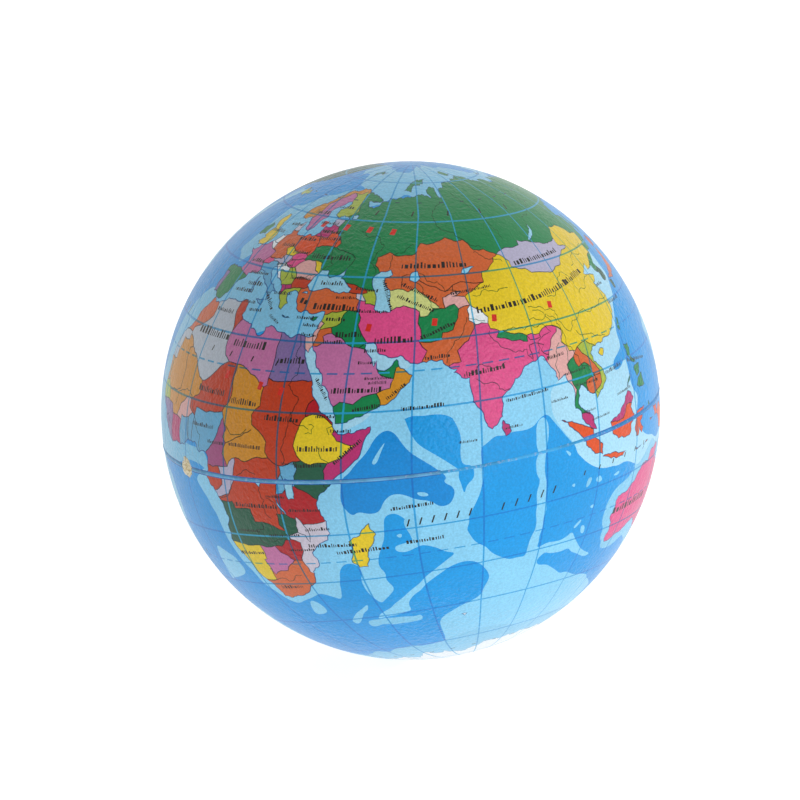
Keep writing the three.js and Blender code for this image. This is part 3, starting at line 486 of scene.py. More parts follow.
@dataclass
class PrintSlip:
    """How the pad print slipped round the ball on each half as it was laid down."""

    facing_longitude: float = 61.33
    north_twist: tuple[float, float, float] = (2.2, 7.0, 2.5)
    south_twist: tuple[float, float, float] = (-10.5, -3.6, -2.2)

    def twist(self, latitude: np.ndarray) -> np.ndarray:
        """Give the slip at each latitude.

        Args:
            latitude: Latitudes in degrees.

        Returns:
            Rotation vectors in radians about the ball's axes.
        """
        reach = np.abs(latitude)
        north = np.stack([self.north_twist[0] * np.sin(np.radians(2 * reach)),
                          self.north_twist[1] * np.minimum(1, reach / 62),
                          self.north_twist[2] * np.minimum(1, reach / 30)], axis=-1)
        south = np.stack([self.south_twist[0] * np.minimum(1, reach / 45),
                          self.south_twist[1] * reach / 45,
                          self.south_twist[2] * reach / 45], axis=-1)
        return np.radians(np.where(latitude[:, None] >= 0, north, south))

    def place(self, lon_lat: np.ndarray, radius: float) -> np.ndarray:
        """Put map points on the ball.

        Args:
            lon_lat: Longitudes and latitudes in degrees, one row a point.
            radius: The ball's radius in metres.

        Returns:
            Positions in metres, one row a point.
        """
        lon = np.radians(lon_lat[:, 0] - self.facing_longitude)
        lat = np.radians(lon_lat[:, 1])
        spot = np.stack([np.sin(lon) * np.cos(lat), -np.cos(lon) * np.cos(lat), np.sin(lat)], axis=-1)
        turn = self.twist(lon_lat[:, 1])
        angle = np.linalg.norm(turn, axis=1, keepdims=True) + 1e-12
        axis = turn / angle
        along = np.sum(axis * spot, axis=1, keepdims=True)
        turned = spot * np.cos(angle) + np.cross(axis, spot) * np.sin(angle) + axis * along * (1 - np.cos(angle))
        return turned * radius


def ragged(points: list[LonLat], longest: float, wander: float, rng: random.Random, closed: bool) -> np.ndarray:
    """Break a line into short steps that wander a little, as a coast does.

    Args:
        points: The line's points in degrees.
        longest: The longest step left, in degrees.
        wander: Sideways shift of each new point, as a share of its step.
        rng: Seeded random source.
        closed: Whether the line joins its start.

    Returns:
        The new points, with the first repeated at the end of a closed line.
    """
    line = [np.array(p) for p in points]
    if closed:
        line.append(line[0])
    split = True
    while split:
        split = False
        finer = [line[0]]
        for a, b in zip(line, line[1:]):
            step = b - a
            if math.hypot(*step) > longest:
                side = np.array((-step[1], step[0]))
                finer.append((a + b) / 2 + side * rng.uniform(-wander, wander))
                split = True
            finer.append(b)
        line = finer
    return np.array(line)


def rounded(line: np.ndarray, times: int) -> np.ndarray:
    """Cut a closed line's corners so that it runs smoothly."""
    ring = line[:-1]
    for _ in range(times):
        ahead = np.roll(ring, -1, axis=0)
        ring = np.stack([0.75 * ring + 0.25 * ahead, 0.25 * ring + 0.75 * ahead], axis=1).reshape(-1, 2)
    return np.vstack([ring, ring[:1]])


def to_disc(lon_lat: np.ndarray, half: Half) -> np.ndarray:
    """Flatten map points round one pole: distance from the middle is degrees from the pole."""
    reach = 90 - half.value * lon_lat[:, 1]
    turn = np.radians(lon_lat[:, 0])
    return np.stack([reach * np.cos(turn), reach * np.sin(turn)], axis=-1)


def from_disc(flat: np.ndarray, half: Half) -> np.ndarray:
    """Turn flattened points back into longitude and latitude."""
    reach = np.hypot(flat[:, 0], flat[:, 1])
    return np.stack([np.degrees(np.arctan2(flat[:, 1], flat[:, 0])), half.value * (90 - reach)], axis=-1)


def inside(spots: np.ndarray, ring: np.ndarray) -> np.ndarray:
    """Say which spots lie inside a closed ring.

    Args:
        spots: Flat positions, one row each.
        ring: The ring's points, with the first repeated at the end.

    Returns:
        One truth value a spot.
    """
    result = np.zeros(len(spots), dtype=bool)
    low, high = ring.min(axis=0), ring.max(axis=0)
    near = np.nonzero(np.all((spots >= low) & (spots <= high), axis=1))[0]
    x, y = spots[near, 0], spots[near, 1]
    crossed = np.zeros(len(near), dtype=bool)
    for (ax, ay), (bx, by) in zip(ring[:-1], ring[1:]):
        if ay != by:
            crossed ^= ((ay > y) != (by > y)) & (x < ax + (y - ay) * (bx - ax) / (by - ay))
    result[near] = crossed
    return result


@dataclass
class PrintPlate:
    """The world map cut into flat pieces of ink for one half of the ball."""

    half: Half
    sizes: BallSizes
    points: list[tuple[float, float]] = field(default_factory=list)
    edges: list[tuple[int, int]] = field(default_factory=list)
    strips: list[list[int]] = field(default_factory=list)
    strip_kinds: list[Line] = field(default_factory=list)
    grid_step: float = 2.4

    def reaches(self, line: np.ndarray) -> np.ndarray:
        """Say which points of a line lie on this half or just past its rim."""
        return self.half.value * line[:, 1] > -1.5

    def add_outline(self, line: np.ndarray) -> None:
        """Keep a line's steps on this half as cuts between inks."""
        keep = self.reaches(line)
        flat = to_disc(line, self.half)
        base = len(self.points)
        self.points.extend(map(tuple, flat))
        self.edges.extend((base + i, base + i + 1) for i in range(len(line) - 1) if keep[i] and keep[i + 1])

    def add_strip(self, line: np.ndarray, width: float, kind: Line) -> None:
        """Lay a line of constant width.

        Args:
            line: The middle of the line, in degrees.
            width: The line's width in metres.
            kind: What the line is.
        """
        shrink = np.maximum(np.cos(np.radians(line[:, 1])), 0.03)
        local = line * np.stack([shrink, np.ones_like(shrink)], axis=-1)
        step = np.diff(local, axis=0)
        step /= np.maximum(np.linalg.norm(step, axis=1, keepdims=True), 1e-9)
        heading = np.vstack([step[:1], step[:-1] + step[1:], step[-1:]])
        heading /= np.maximum(np.linalg.norm(heading, axis=1, keepdims=True), 0.3)
        side = np.stack([-heading[:, 1] / shrink, heading[:, 0]], axis=-1) * self.sizes.degrees(width) / 2
        keep = self.reaches(line)
        base = len(self.points)
        flat = np.stack([to_disc(line + side, self.half), to_disc(line - side, self.half)], axis=1)
        self.points.extend(map(tuple, flat.reshape(-1, 2)))
        for i in range(len(line) - 1):
            if keep[i] and keep[i + 1]:
                k = base + 2 * i
                self.edges.extend(((k, k + 2), (k + 1, k + 3)))
                self.strips.append([k, k + 1, k + 3, k + 2])
                self.strip_kinds.append(kind)
        self.edges.extend(((base, base + 1), (base + 2 * len(line) - 2, base + 2 * len(line) - 1)))

    def add_tick(self, middle: LonLat, heading: float, width: float, height: float, kind: Line) -> None:
        """Lay one upright mark.

        Args:
            middle: Its middle in degrees.
            heading: Direction of its long side, in radians from east.
            width: Its width in degrees.
            height: Its height in degrees.
            kind: What the mark is.
        """
        if self.half.value * middle[1] < 0.8:
            return
        along = np.array((math.cos(heading), math.sin(heading))) * height / 2
        reach = np.array((-math.sin(heading), math.cos(heading))) * width / 2
        shrink = np.array((math.cos(math.radians(middle[1])), 1))
        corners = [np.array(middle) + corner / shrink
                   for corner in (along + reach, along - reach, -along - reach, -along + reach)]
        base = len(self.points)
        self.points.extend(map(tuple, to_disc(np.array(corners), self.half)))
        self.edges.extend((base + i, base + (i + 1) % 4) for i in range(4))
        self.strips.append([base, base + 1, base + 2, base + 3])
        self.strip_kinds.append(kind)

    def add_grid(self) -> None:
        """Add the rim and an even spread of points, so that the printed surface stays round."""
        rim = 90 - self.sizes.rim_latitude
        turns = np.radians(np.arange(0, 360, 1.0))
        base = len(self.points)
        self.points.extend(zip(rim * np.cos(turns), rim * np.sin(turns)))
        self.edges.extend((base + i, base + (i + 1) % len(turns)) for i in range(len(turns)))
        self.points.append((0.0, 0.0))
        for row, reach in enumerate(np.arange(self.grid_step, rim - 1, self.grid_step)):
            count = max(6, round(2 * math.pi * math.degrees(math.sin(math.radians(reach))) / self.grid_step))
            spread = np.radians((np.arange(count) + 0.5 * (row % 2)) * 360 / count)
            self.points.extend(zip(reach * np.cos(spread), reach * np.sin(spread)))

    def cut(self) -> tuple[np.ndarray, np.ndarray, list[set[Line]]]:
        """Cut the whole plate into triangles along every line.

        Returns:
            Flat points, triangles inside the rim, and the kinds of line over each triangle.
        """
        cut = delaunay_2d_cdt([Vector(p) for p in self.points], self.edges, [], 0, 1e-5, False)
        flat, faces = np.array([tuple(p) for p in cut[0]]), np.array(cut[2])
        reach = np.hypot(flat[:, 0], flat[:, 1])
        rim = 90 - self.sizes.rim_latitude
        on_rim = np.abs(reach - rim) < 0.02
        flat[on_rim] *= (rim / reach[on_rim])[:, None]
        middle = flat[faces].mean(axis=1)
        kept = (np.hypot(middle[:, 0], middle[:, 1]) < rim - 1e-4) & ~inside(middle, self.gate_ring())
        return flat, faces[kept], self.kinds_over(middle[kept])

    def kinds_over(self, middle: np.ndarray) -> list[set[Line]]:
        """Find the lines that lie over each triangle.

        Args:
            middle: Middles of the triangles, flattened.

        Returns:
            The kinds of line over each one.
        """
        tiles: dict[tuple[int, int], list[int]] = {}
        for i, (tx, ty) in enumerate(np.floor(middle).astype(int).tolist()):
            tiles.setdefault((tx, ty), []).append(i)
        kinds: list[set[Line]] = [set() for _ in middle]
        corners = np.array(self.points)[np.array(self.strips)]
        lows, highs = np.floor(corners.min(axis=1)).astype(int), np.floor(corners.max(axis=1)).astype(int)
        for corner, low, high, kind in zip(corners, lows, highs, self.strip_kinds):
            near = [i for tx in range(low[0], high[0] + 1) for ty in range(low[1], high[1] + 1)
                    for i in tiles.get((tx, ty), ())]
            if near:
                spots = middle[near]
                hit = np.zeros(len(near), dtype=bool)
                for a, b, c in ((0, 1, 2), (0, 2, 3)):
                    sides = [np.cross(corner[q] - corner[p], spots - corner[p]) for p, q in ((a, b), (b, c), (c, a))]
                    hit |= (np.minimum.reduce(sides) >= 0) | (np.maximum.reduce(sides) <= 0)
                for i in np.nonzero(hit)[0]:
                    kinds[near[i]].add(kind)
        return kinds

    def gate_ring(self) -> np.ndarray:
        """Give the torn edge of the print round the pour stub, as a flat ring."""
        rng = random.Random(11)
        reach = self.sizes.degrees(self.sizes.gate_radius)
        turns = [math.radians(12 * i) for i in range(30)]
        ring = [(reach * rng.uniform(0.72, 1.0) * math.cos(t), reach * rng.uniform(0.8, 1.05) * math.sin(t))
                for t in turns]
        return to_disc(np.array(ring + ring[:1]), self.half)


@dataclass
class WorldMap:
    """The printed world map: what it shows and which ink each part takes."""

    coast_width: float = 0.15 * MM
    border_width: float = 0.15 * MM
    river_width: float = 0.12 * MM
    graticule_width: float = 0.29 * MM
    edge_width: float = 0.14 * MM
    graticule_step: int = 15
    bare_equator: tuple[int, int] = (66, 100)
    longest_join: float = 0.9
    line_filters: dict[Line, str] = field(default_factory=lambda: {
        Line.COAST: "#6686b2", Line.BORDER: "#5f7480", Line.RIVER: "#5f9088", Line.GRATICULE: "#65b8d6",
    })
    line_fills: dict[Line, str] = field(default_factory=lambda: {
        Line.EQUATOR_EDGE: "#1c62ae", Line.NAME_MARK: "#20201f", Line.RED_MARK: "#d02a1c", Line.POLAR_DASH: "#17304a",
    })

    def outlines(self, table: dict[str, str], wander: float) -> dict[str, np.ndarray]:
        """Give each named outline as a ragged closed line."""
        return {name: ragged(read_points(text), 1.0, wander, random.Random(name), True)
                for name, text in table.items()}

    def borders(self, shores: list[np.ndarray]) -> list[np.ndarray]:
        """Give each border as a ragged line whose ends run on to whatever they meet.

        Args:
            shores: Coast and lake lines that a border may end on.

        Returns:
            The border lines.
        """
        lines = [ragged(read_points(text), 1.6, 0.1, random.Random(i), False) for i, text in enumerate(BORDERS)]
        joined = []
        for i, line in enumerate(lines):
            others = [*shores, *lines[:i], *lines[i + 1:]]
            starts = np.vstack([other[:-1] for other in others])
            steps = np.vstack([np.diff(other, axis=0) for other in others])
            ends = []
            for end in (line[0], line[-1]):
                share = np.clip(np.sum((end - starts) * steps, axis=1) / np.maximum(np.sum(steps ** 2, axis=1), 1e-9), 0, 1)
                meets = starts + steps * share[:, None]
                gaps = np.linalg.norm(meets - end, axis=1)
                nearest = meets[gaps.argmin()]
                ends.append([nearest] if 0.01 < gaps.min() < self.longest_join else [])
            joined.append(np.array([*ends[0], *line, *ends[1]]))
        return joined

    def sea_bed(self) -> list[tuple[str, np.ndarray]]:
        """Give each sea bed tone with its smooth outline."""
        return [(ink, rounded(ragged(read_points(text), 4.0, 0.12, random.Random(i), True), 2))
                for i, (ink, text) in enumerate(SEA_BED)]

    def add_graticule(self, plate: PrintPlate) -> None:
        """Lay the meridians, parallels, tropics, polar dashes and the equator's edge lines."""
        rim = plate.sizes.rim_latitude
        sign = plate.half.value
        for lon in range(-180, 180, self.graticule_step):
            rows = np.arange(rim, 88.1, 1.5)
            plate.add_strip(np.stack([np.full_like(rows, lon), sign * rows], axis=-1), self.graticule_width,
                            Line.GRATICULE)
        for lat in range(self.graticule_step, 90, self.graticule_step):
            lons = np.arange(-180, 180.1, 2)
            plate.add_strip(np.stack([lons, np.full_like(lons, sign * lat)], axis=-1), self.graticule_width,
                            Line.GRATICULE)
        for start in range(-180, 180, 4):
            lons = np.linspace(start, start + 2.6, 3)
            plate.add_strip(np.stack([lons, np.full_like(lons, sign * 23.4)], axis=-1), 0.24 * MM, Line.GRATICULE)
        for start in range(-180, 180, 12):
            lons = np.linspace(start, start + 2.4, 3)
            plate.add_strip(np.stack([lons, np.full_like(lons, sign * 66.5)], axis=-1), 0.2 * MM, Line.POLAR_DASH)
        edge = rim + plate.sizes.degrees(self.edge_width) / 2
        lons = np.arange(self.bare_equator[1], self.bare_equator[0] + 360.1, 1.0)
        plate.add_strip(np.stack([lons, np.full_like(lons, sign * edge)], axis=-1), self.edge_width,
                        Line.EQUATOR_EDGE)

    def add_names(self, plate: PrintPlate) -> None:
        """Lay the tick marks that stand in for names."""
        rng = random.Random(5)
        for row in NAME_ROWS:
            lon, lat, far_lon, far_lat, height = (float(n) for n in row.split())
            shrink = math.cos(math.radians((lat + far_lat) / 2))
            run = np.array(((far_lon - lon) * shrink, far_lat - lat))
            heading = math.atan2(run[1], run[0]) + math.pi / 2
            along = run / math.hypot(*run)
            upward = np.array((-along[1], along[0]))
            walked = 0.0
            while walked < math.hypot(*run):
                wide = rng.choice((0.17, 0.26, 0.46)) * height
                tall = rng.choice((0.62, 0.8, 1.0)) * height
                shift = along * (walked + wide / 2) + upward * tall / 2
                middle = np.array((lon, lat)) + shift / np.array((shrink, 1))
                plate.add_tick(tuple(middle), heading, wide, tall, Line.NAME_MARK)
                walked += wide + 0.24 * height
        for row in SEA_NAME_ROWS:
            lon, lat, far_lon, far_lat, height, count = (float(n) for n in row.split())
            for k in range(int(count)):
                share = k / (count - 1)
                middle = (lon + (far_lon - lon) * share, lat + (far_lat - lat) * share + height / 2)
                plate.add_tick(middle, math.radians(74), 0.34, height, Line.NAME_MARK)
        for middle in read_points(RED_MARKS):
            plate.add_tick(middle, math.radians(80), 1.1, 1.7, Line.RED_MARK)

    def cut_inks(self, half: Half, sizes: BallSizes) -> tuple[np.ndarray, np.ndarray, np.ndarray]:
        """Cut the map for one half and colour every piece.

        Args:
            half: Which half to cut.
            sizes: The ball's sizes.

        Returns:
            Flat points, triangles, and a linear colour for each triangle.
        """
        plate = PrintPlate(half, sizes)
        land = self.outlines(LAND_OUTLINES, 0.16)
        water = self.outlines(WATER_OUTLINES, 0.12)
        bed = self.sea_bed()
        for line in [*land.values(), *water.values()]:
            plate.add_outline(line)
            plate.add_strip(line, self.coast_width, Line.COAST)
        for _, line in bed:
            plate.add_outline(line)
        for line in self.borders([*land.values(), *water.values()]):
            plate.add_strip(line, self.border_width, Line.BORDER)
        for i, text in enumerate(RIVERS):
            plate.add_strip(ragged(read_points(text), 1.2, 0.22, random.Random(i), False), self.river_width,
                            Line.RIVER)
        self.add_graticule(plate)
        self.add_names(plate)
        gate = plate.gate_ring()
        base = len(plate.points)
        plate.points.extend(map(tuple, gate[:-1]))
        plate.edges.extend((base + i, base + (i + 1) % (len(gate) - 1)) for i in range(len(gate) - 1))
        plate.add_grid()
        flat, faces, kinds = plate.cut()
        middle = flat[faces].mean(axis=1)
        ink = np.zeros(len(faces), dtype=int)
        names = list(INKS)
        for tone, line in bed:
            ink[inside(middle, to_disc(line, half))] = names.index(tone)
        is_land = np.zeros(len(faces), dtype=bool)
        for line in land.values():
            is_land |= inside(middle, to_disc(line, half))
        for line in water.values():
            wet = inside(middle, to_disc(line, half))
            ink[wet & is_land] = names.index("lake")
            is_land &= ~wet
        self.fill_countries(half, faces, middle, ink, is_land, kinds)
        return flat, faces, self.mix(ink, is_land, kinds)

    def fill_countries(self, half: Half, faces: np.ndarray, middle: np.ndarray, ink: np.ndarray, is_land: np.ndarray,
                       kinds: list[set[Line]]) -> None:
        """Flood each country with its ink, then carry the inks under the lines.

        Args:
            half: The half being coloured.
            faces: Triangles.
            middle: Middles of the triangles, flattened.
            ink: Ink number of each triangle, changed in place.
            is_land: Which triangles are land.
            kinds: The lines over each triangle.
        """
        beside: dict[tuple[int, int], list[int]] = {}
        for i, face in enumerate(faces):
            for a, b in zip(face, np.roll(face, -1)):
                beside.setdefault((min(a, b), max(a, b)), []).append(i)
        touching: list[list[int]] = [[] for _ in faces]
        for pair in beside.values():
            if len(pair) == 2:
                touching[pair[0]].append(pair[1])
                touching[pair[1]].append(pair[0])
        open_land = [bool(is_land[i]) and Line.BORDER not in kinds[i] and Line.COAST not in kinds[i]
                     for i in range(len(faces))]
        country = np.full(len(faces), -1)
        count = 0
        for start in range(len(faces)):
            if open_land[start] and country[start] < 0:
                country[start] = count
                queue = [start]
                while queue:
                    for other in touching[queue.pop()]:
                        if open_land[other] and country[other] < 0:
                            country[other] = count
                            queue.append(other)
                count += 1
        names = list(INKS)
        seeds = [(names.index(name), point) for name, text in COUNTRIES.items() for point in read_points(text)]
        spots = to_disc(np.array([point for _, point in seeds]), half)
        land_faces = np.nonzero(country >= 0)[0]
        inks = np.full(count, -1)
        for (number, point), spot in zip(seeds, spots):
            if half.value * point[1] > -4:
                gap = np.hypot(*(middle[land_faces] - spot).T)
                if gap.min() < 2:
                    inks[country[land_faces[gap.argmin()]]] = number
        for k in np.nonzero(inks < 0)[0]:
            at = middle[country == k].mean(axis=0)
            inks[k] = seeds[int(np.hypot(*(spots - at).T).argmin())][0]
        queue = list(land_faces)
        ink[land_faces] = inks[country[land_faces]]
        filled = country >= 0
        for i in queue:
            for other in touching[i]:
                if is_land[other] and not filled[other]:
                    filled[other] = True
                    ink[other] = ink[i]
                    queue.append(other)

    def mix(self, ink: np.ndarray, is_land: np.ndarray, kinds: list[set[Line]]) -> np.ndarray:
        """Lay the line inks over the flat inks.

        Args:
            ink: Ink number of each triangle.
            is_land: Which triangles are land.
            kinds: The lines over each triangle.

        Returns:
            A linear colour for each triangle.
        """
        palette = np.array([to_linear(colour) for colour in INKS.values()])
        names = list(INKS)
        colours = palette[ink]
        filters = {kind: np.array(to_linear(colour)) for kind, colour in self.line_filters.items()}
        fills = {kind: np.array(to_linear(colour)) for kind, colour in self.line_fills.items()}
        teal = np.array(to_linear("#1f97bd"))
        # The graticule's ink is a little opaque, so it also lightens what it crosses.
        haze = np.array(to_linear("#004060")) * (1, 1, 1, 0)
        greens = {names.index("green"), names.index("dark green")}
        dry_only = {Line.BORDER, Line.RIVER}
        for i, over in enumerate(kinds):
            for kind in over & filters.keys():
                if kind in dry_only and not is_land[i]:
                    continue
                if kind is Line.GRATICULE and ink[i] in greens:
                    colours[i] = teal
                else:
                    colours[i] = colours[i] * filters[kind] + haze * (kind is Line.GRATICULE)
            for kind in over & fills.keys():
                colours[i] = fills[kind]
        return colours


class Graph:
    """A material's node tree, with one way to add a node."""

    def __init__(self, name: str) -> None:
        """Start an empty material that has only its output."""
        self.material = bpy.data.materials.new(name)
        self.material.use_nodes = True
        self.tree = self.material.node_tree
        self.tree.nodes.clear()
        self.output = self.tree.nodes.new("ShaderNodeOutputMaterial")

    def add(self, kind: str, settings: dict[str, object] | None = None,
            inputs: dict[str | int, object] | None = None) -> bpy.types.Node:
        """Add one node.

        Args:
            kind: The node's type.
            settings: Values of the node's own properties.
            inputs: For each input socket, a value or the output socket that feeds it.

        Returns:
            The new node.
        """
        node = self.tree.nodes.new(kind)
        for key, value in (settings or {}).items():
            setattr(node, key, value)
        for key, value in (inputs or {}).items():
            if isinstance(value, bpy.types.NodeSocket):
                self.tree.links.new(value, node.inputs[key])
            else:
                node.inputs[key].default_value = value
        return node

    def ramp(self, factor: bpy.types.NodeSocket, low: float, high: float, from_value: float,
             to_value: float) -> bpy.types.NodeSocket:
        """Map a value from one span to another, clamped at both ends."""
        node = self.add("ShaderNodeMapRange", {"interpolation_type": "SMOOTHSTEP"},
                        {"Value": factor, "From Min": low, "From Max": high, "To Min": from_value, "To Max": to_value})
        return node.outputs["Result"]

    def finish(self, shader: bpy.types.Node) -> bpy.types.Material:
        """Join the shader to the output and give the material."""
        self.tree.links.new(shader.outputs[0], self.output.inputs["Surface"])
        return self.material


@dataclass(frozen=True)
class PadPrintedSkinFinish:
    """Self-skinned polyurethane foam, pad-printed and sealed: satin, with the skin's fine leathery wrinkles."""

    name: str = "pad_printed_polyurethane_skin"
    wrinkle_mm: float = 0.85
    grain_mm: float = 0.3
    tone_mm: float = 9.0
    roughness: float = 0.4

    def build(self) -> bpy.types.Material:
        """Make the material. Its colour comes from the piece's own print attribute."""
        g = Graph(self.name)
        place = g.add("ShaderNodeTexCoord").outputs["Object"]
        paint = g.add("ShaderNodeAttribute", {"attribute_name": "print_ink"}).outputs["Color"]
        # Ink density drifts a little over a centimetre, as one pull of the pad does.
        tone = g.add("ShaderNodeTexNoise", {}, {"Vector": place, "Scale": 1 / (self.tone_mm * MM), "Detail": 2.0})
        tone_gain = g.ramp(tone.outputs["Fac"], 0.3, 0.7, 0.965, 1.02)
        # Half-tone grain: the ink wets the foam's fine cells unevenly.
        grain = g.add("ShaderNodeTexNoise", {}, {"Vector": place, "Scale": 1 / (self.grain_mm * MM), "Detail": 1.0})
        grain_gain = g.ramp(grain.outputs["Fac"], 0.35, 0.68, 0.93, 1.06)
        gain = g.add("ShaderNodeMath", {"operation": "MULTIPLY"}, {0: tone_gain, 1: grain_gain})
        colour = g.add("ShaderNodeVectorMath", {"operation": "SCALE"}, {0: paint, "Scale": gain.outputs[0]})
        # Wrinkles: a warped cell pattern, stretched like the creases of a soft skin.
        warp = g.add("ShaderNodeTexNoise", {}, {"Vector": place, "Scale": 1 / (2.2 * MM), "Detail": 1.0})
        bend = g.add("ShaderNodeVectorMath", {"operation": "MULTIPLY_ADD"},
                     {0: warp.outputs["Color"], 1: (1.6 * MM,) * 3, 2: place})
        cells = g.add("ShaderNodeTexVoronoi", {"feature": "SMOOTH_F1"},
                      {"Vector": bend.outputs[0], "Scale": 1 / (self.wrinkle_mm * MM), "Smoothness": 0.6})
        fine = g.add("ShaderNodeTexNoise", {}, {"Vector": bend.outputs[0], "Scale": 1 / (0.45 * MM), "Detail": 2.0})
        # The skin is more crumpled in some patches than in others.
        patch = g.add("ShaderNodeTexNoise", {}, {"Vector": place, "Scale": 1 / (17 * MM), "Detail": 1.0})
        depth = g.ramp(patch.outputs["Fac"], 0.38, 0.62, 0.25, 1.0)
        relief = g.add("ShaderNodeMath", {"operation": "MULTIPLY_ADD"},
                       {0: cells.outputs["Distance"], 1: 0.8, 2: fine.outputs["Fac"]})
        scaled = g.add("ShaderNodeMath", {"operation": "MULTIPLY"}, {0: relief.outputs[0], 1: depth})
        bump = g.add("ShaderNodeBump", {}, {"Height": scaled.outputs[0], "Strength": 0.8, "Distance": 0.15 * MM})
        rough = g.ramp(fine.outputs["Fac"], 0.3, 0.7, self.roughness - 0.05, self.roughness + 0.08)
        shader = g.add("ShaderNodeBsdfPrincipled", {}, {
            "Base Color": colour.outputs[0], "Roughness": rough, "IOR": 1.5, "Specular IOR Level": 0.28,
            "Sheen Weight": 0.3, "Sheen Roughness": 0.4,
            "Normal": bump.outputs[0],
        })
        return g.finish(shader)


@dataclass(frozen=True)
class FlashPaintFinish:
    """Moulding flash that caught the print's ink: patchy, and rubbed paler in specks."""

    name: str = "inked_moulding_flash"
    rubbed: str = "#b4b2cc"

    def build(self) -> bpy.types.Material:
        """Make the material. Its ink comes from the piece's own attribute and drifts every few millimetres."""
        g = Graph(self.name)
        place = g.add("ShaderNodeTexCoord").outputs["Object"]
        paint = g.add("ShaderNodeAttribute", {"attribute_name": "print_ink"}).outputs["Color"]
        along = g.add("ShaderNodeTexNoise", {}, {"Vector": place, "Scale": 1 / (4 * MM), "Detail": 3.0})
        speck = g.add("ShaderNodeTexNoise", {}, {"Vector": place, "Scale": 1 / (0.5 * MM), "Detail": 2.0})
        gain = g.ramp(along.outputs["Fac"], 0.4, 0.6, 0.78, 1.06)
        base = g.add("ShaderNodeVectorMath", {"operation": "SCALE"}, {0: paint, "Scale": gain})
        rub = g.ramp(speck.outputs["Fac"], 0.55, 0.7, 0.0, 0.4)
        colour = g.add("ShaderNodeMix", {"data_type": "RGBA"}, {0: rub, 6: base.outputs[0],
                                                               7: to_linear(self.rubbed)})
        bump = g.add("ShaderNodeBump", {}, {"Height": speck.outputs["Fac"], "Strength": 0.5, "Distance": 0.08 * MM})
        shader = g.add("ShaderNodeBsdfPrincipled", {}, {
            "Base Color": colour.outputs[2], "Roughness": 0.5, "IOR": 1.5, "Specular IOR Level": 0.25,
            "Normal": bump.outputs[0],
        })
        return g.finish(shader)


@dataclass(frozen=True)
class BareFoamFinish:
    """Open-cell polyurethane foam where it was torn or cut: cream, matt and full of tiny holes."""

    name: str = "torn_polyurethane_foam"
    wall: str = "#efe6cf"
    # Darker tan laid in the middle of each cell as painted shade.
    painted_pore_shade: str = "#b59f6a"
    cell_mm: float = 0.35

    def build(self) -> bpy.types.Material:
        """Make the material. The middle of each cell is darkened with painted shade, as shade lying in a hollow, with a
        pale wall round it.
        """
        g = Graph(self.name)
        place = g.add("ShaderNodeTexCoord").outputs["Object"]
        cells = g.add("ShaderNodeTexVoronoi", {}, {"Vector": place, "Scale": 1 / (self.cell_mm * MM)})
        stain = g.add("ShaderNodeTexNoise", {}, {"Vector": place, "Scale": 1 / (1.5 * MM), "Detail": 2.0})
        # Painted shade: each cell's middle is darkened towards the tan, as if shade lay in its hollow.
        painted_shade_share = g.ramp(cells.outputs["Distance"], 0.15, 0.55, 1.0, 0.0)
        yellowed = g.ramp(stain.outputs["Fac"], 0.4, 0.65, 0.0, 0.6)
        base = g.add("ShaderNodeMix", {"data_type": "RGBA"},
                     {0: yellowed, 6: to_linear(self.wall), 7: to_linear("#dcc98e")})
        colour = g.add("ShaderNodeMix", {"data_type": "RGBA"}, {0: painted_shade_share, 6: base.outputs[2], 7: to_linear(self.painted_pore_shade)})
        bump = g.add("ShaderNodeBump", {}, {"Height": cells.outputs["Distance"], "Strength": 0.9,
                                            "Distance": 0.2 * MM})
        shader = g.add("ShaderNodeBsdfPrincipled", {}, {
            "Base Color": colour.outputs[2], "Roughness": 0.9, "IOR": 1.45, "Normal": bump.outputs[0],
        })
        return g.finish(shader)


@dataclass(frozen=True)
class LitSweepFinish:
    """Opal acrylic lit from behind: an even white glow with hardly any shadow on it."""

    name: str = "opal_acrylic_lit_from_behind"
    glow: float = 0.92
    clear: str = "#868788"
    cloudy: str = "#8c8c8c"

    def build(self) -> bpy.types.Material:
        """Make the material. The acrylic is a little cloudier in some patches."""
        g = Graph(self.name)
        place = g.add("ShaderNodeTexCoord").outputs["Object"]
        haze = g.add("ShaderNodeTexNoise", {}, {"Vector": place, "Scale": 1 / (40 * MM), "Detail": 2.0})
        level = g.ramp(haze.outputs["Fac"], 0.3, 0.7, 0.0, 1.0)
        colour = g.add("ShaderNodeMix", {"data_type": "RGBA"},
                       {0: level, 6: to_linear(self.clear), 7: to_linear(self.cloudy)})
        shader = g.add("ShaderNodeBsdfPrincipled", {}, {
            "Base Color": colour.outputs[2], "Roughness": 0.95, "Emission Color": (1, 1, 1, 1),
            "Emission Strength": self.glow,
        })
        return g.finish(shader)


def make_piece(bm: bmesh.types.BMesh, name: str, material: bpy.types.Material) -> bpy.types.Object:
    """Turn a bmesh into a smooth-shaded object at the origin."""
    mesh = bpy.data.meshes.new(name)
    bm.to_mesh(mesh)
    bm.free()
    mesh.materials.append(material)
    mesh.polygons.foreach_set("use_smooth", [True] * len(mesh.polygons))
    piece = bpy.data.objects.new(name, mesh)
    bpy.context.scene.collection.objects.link(piece)
    return piece


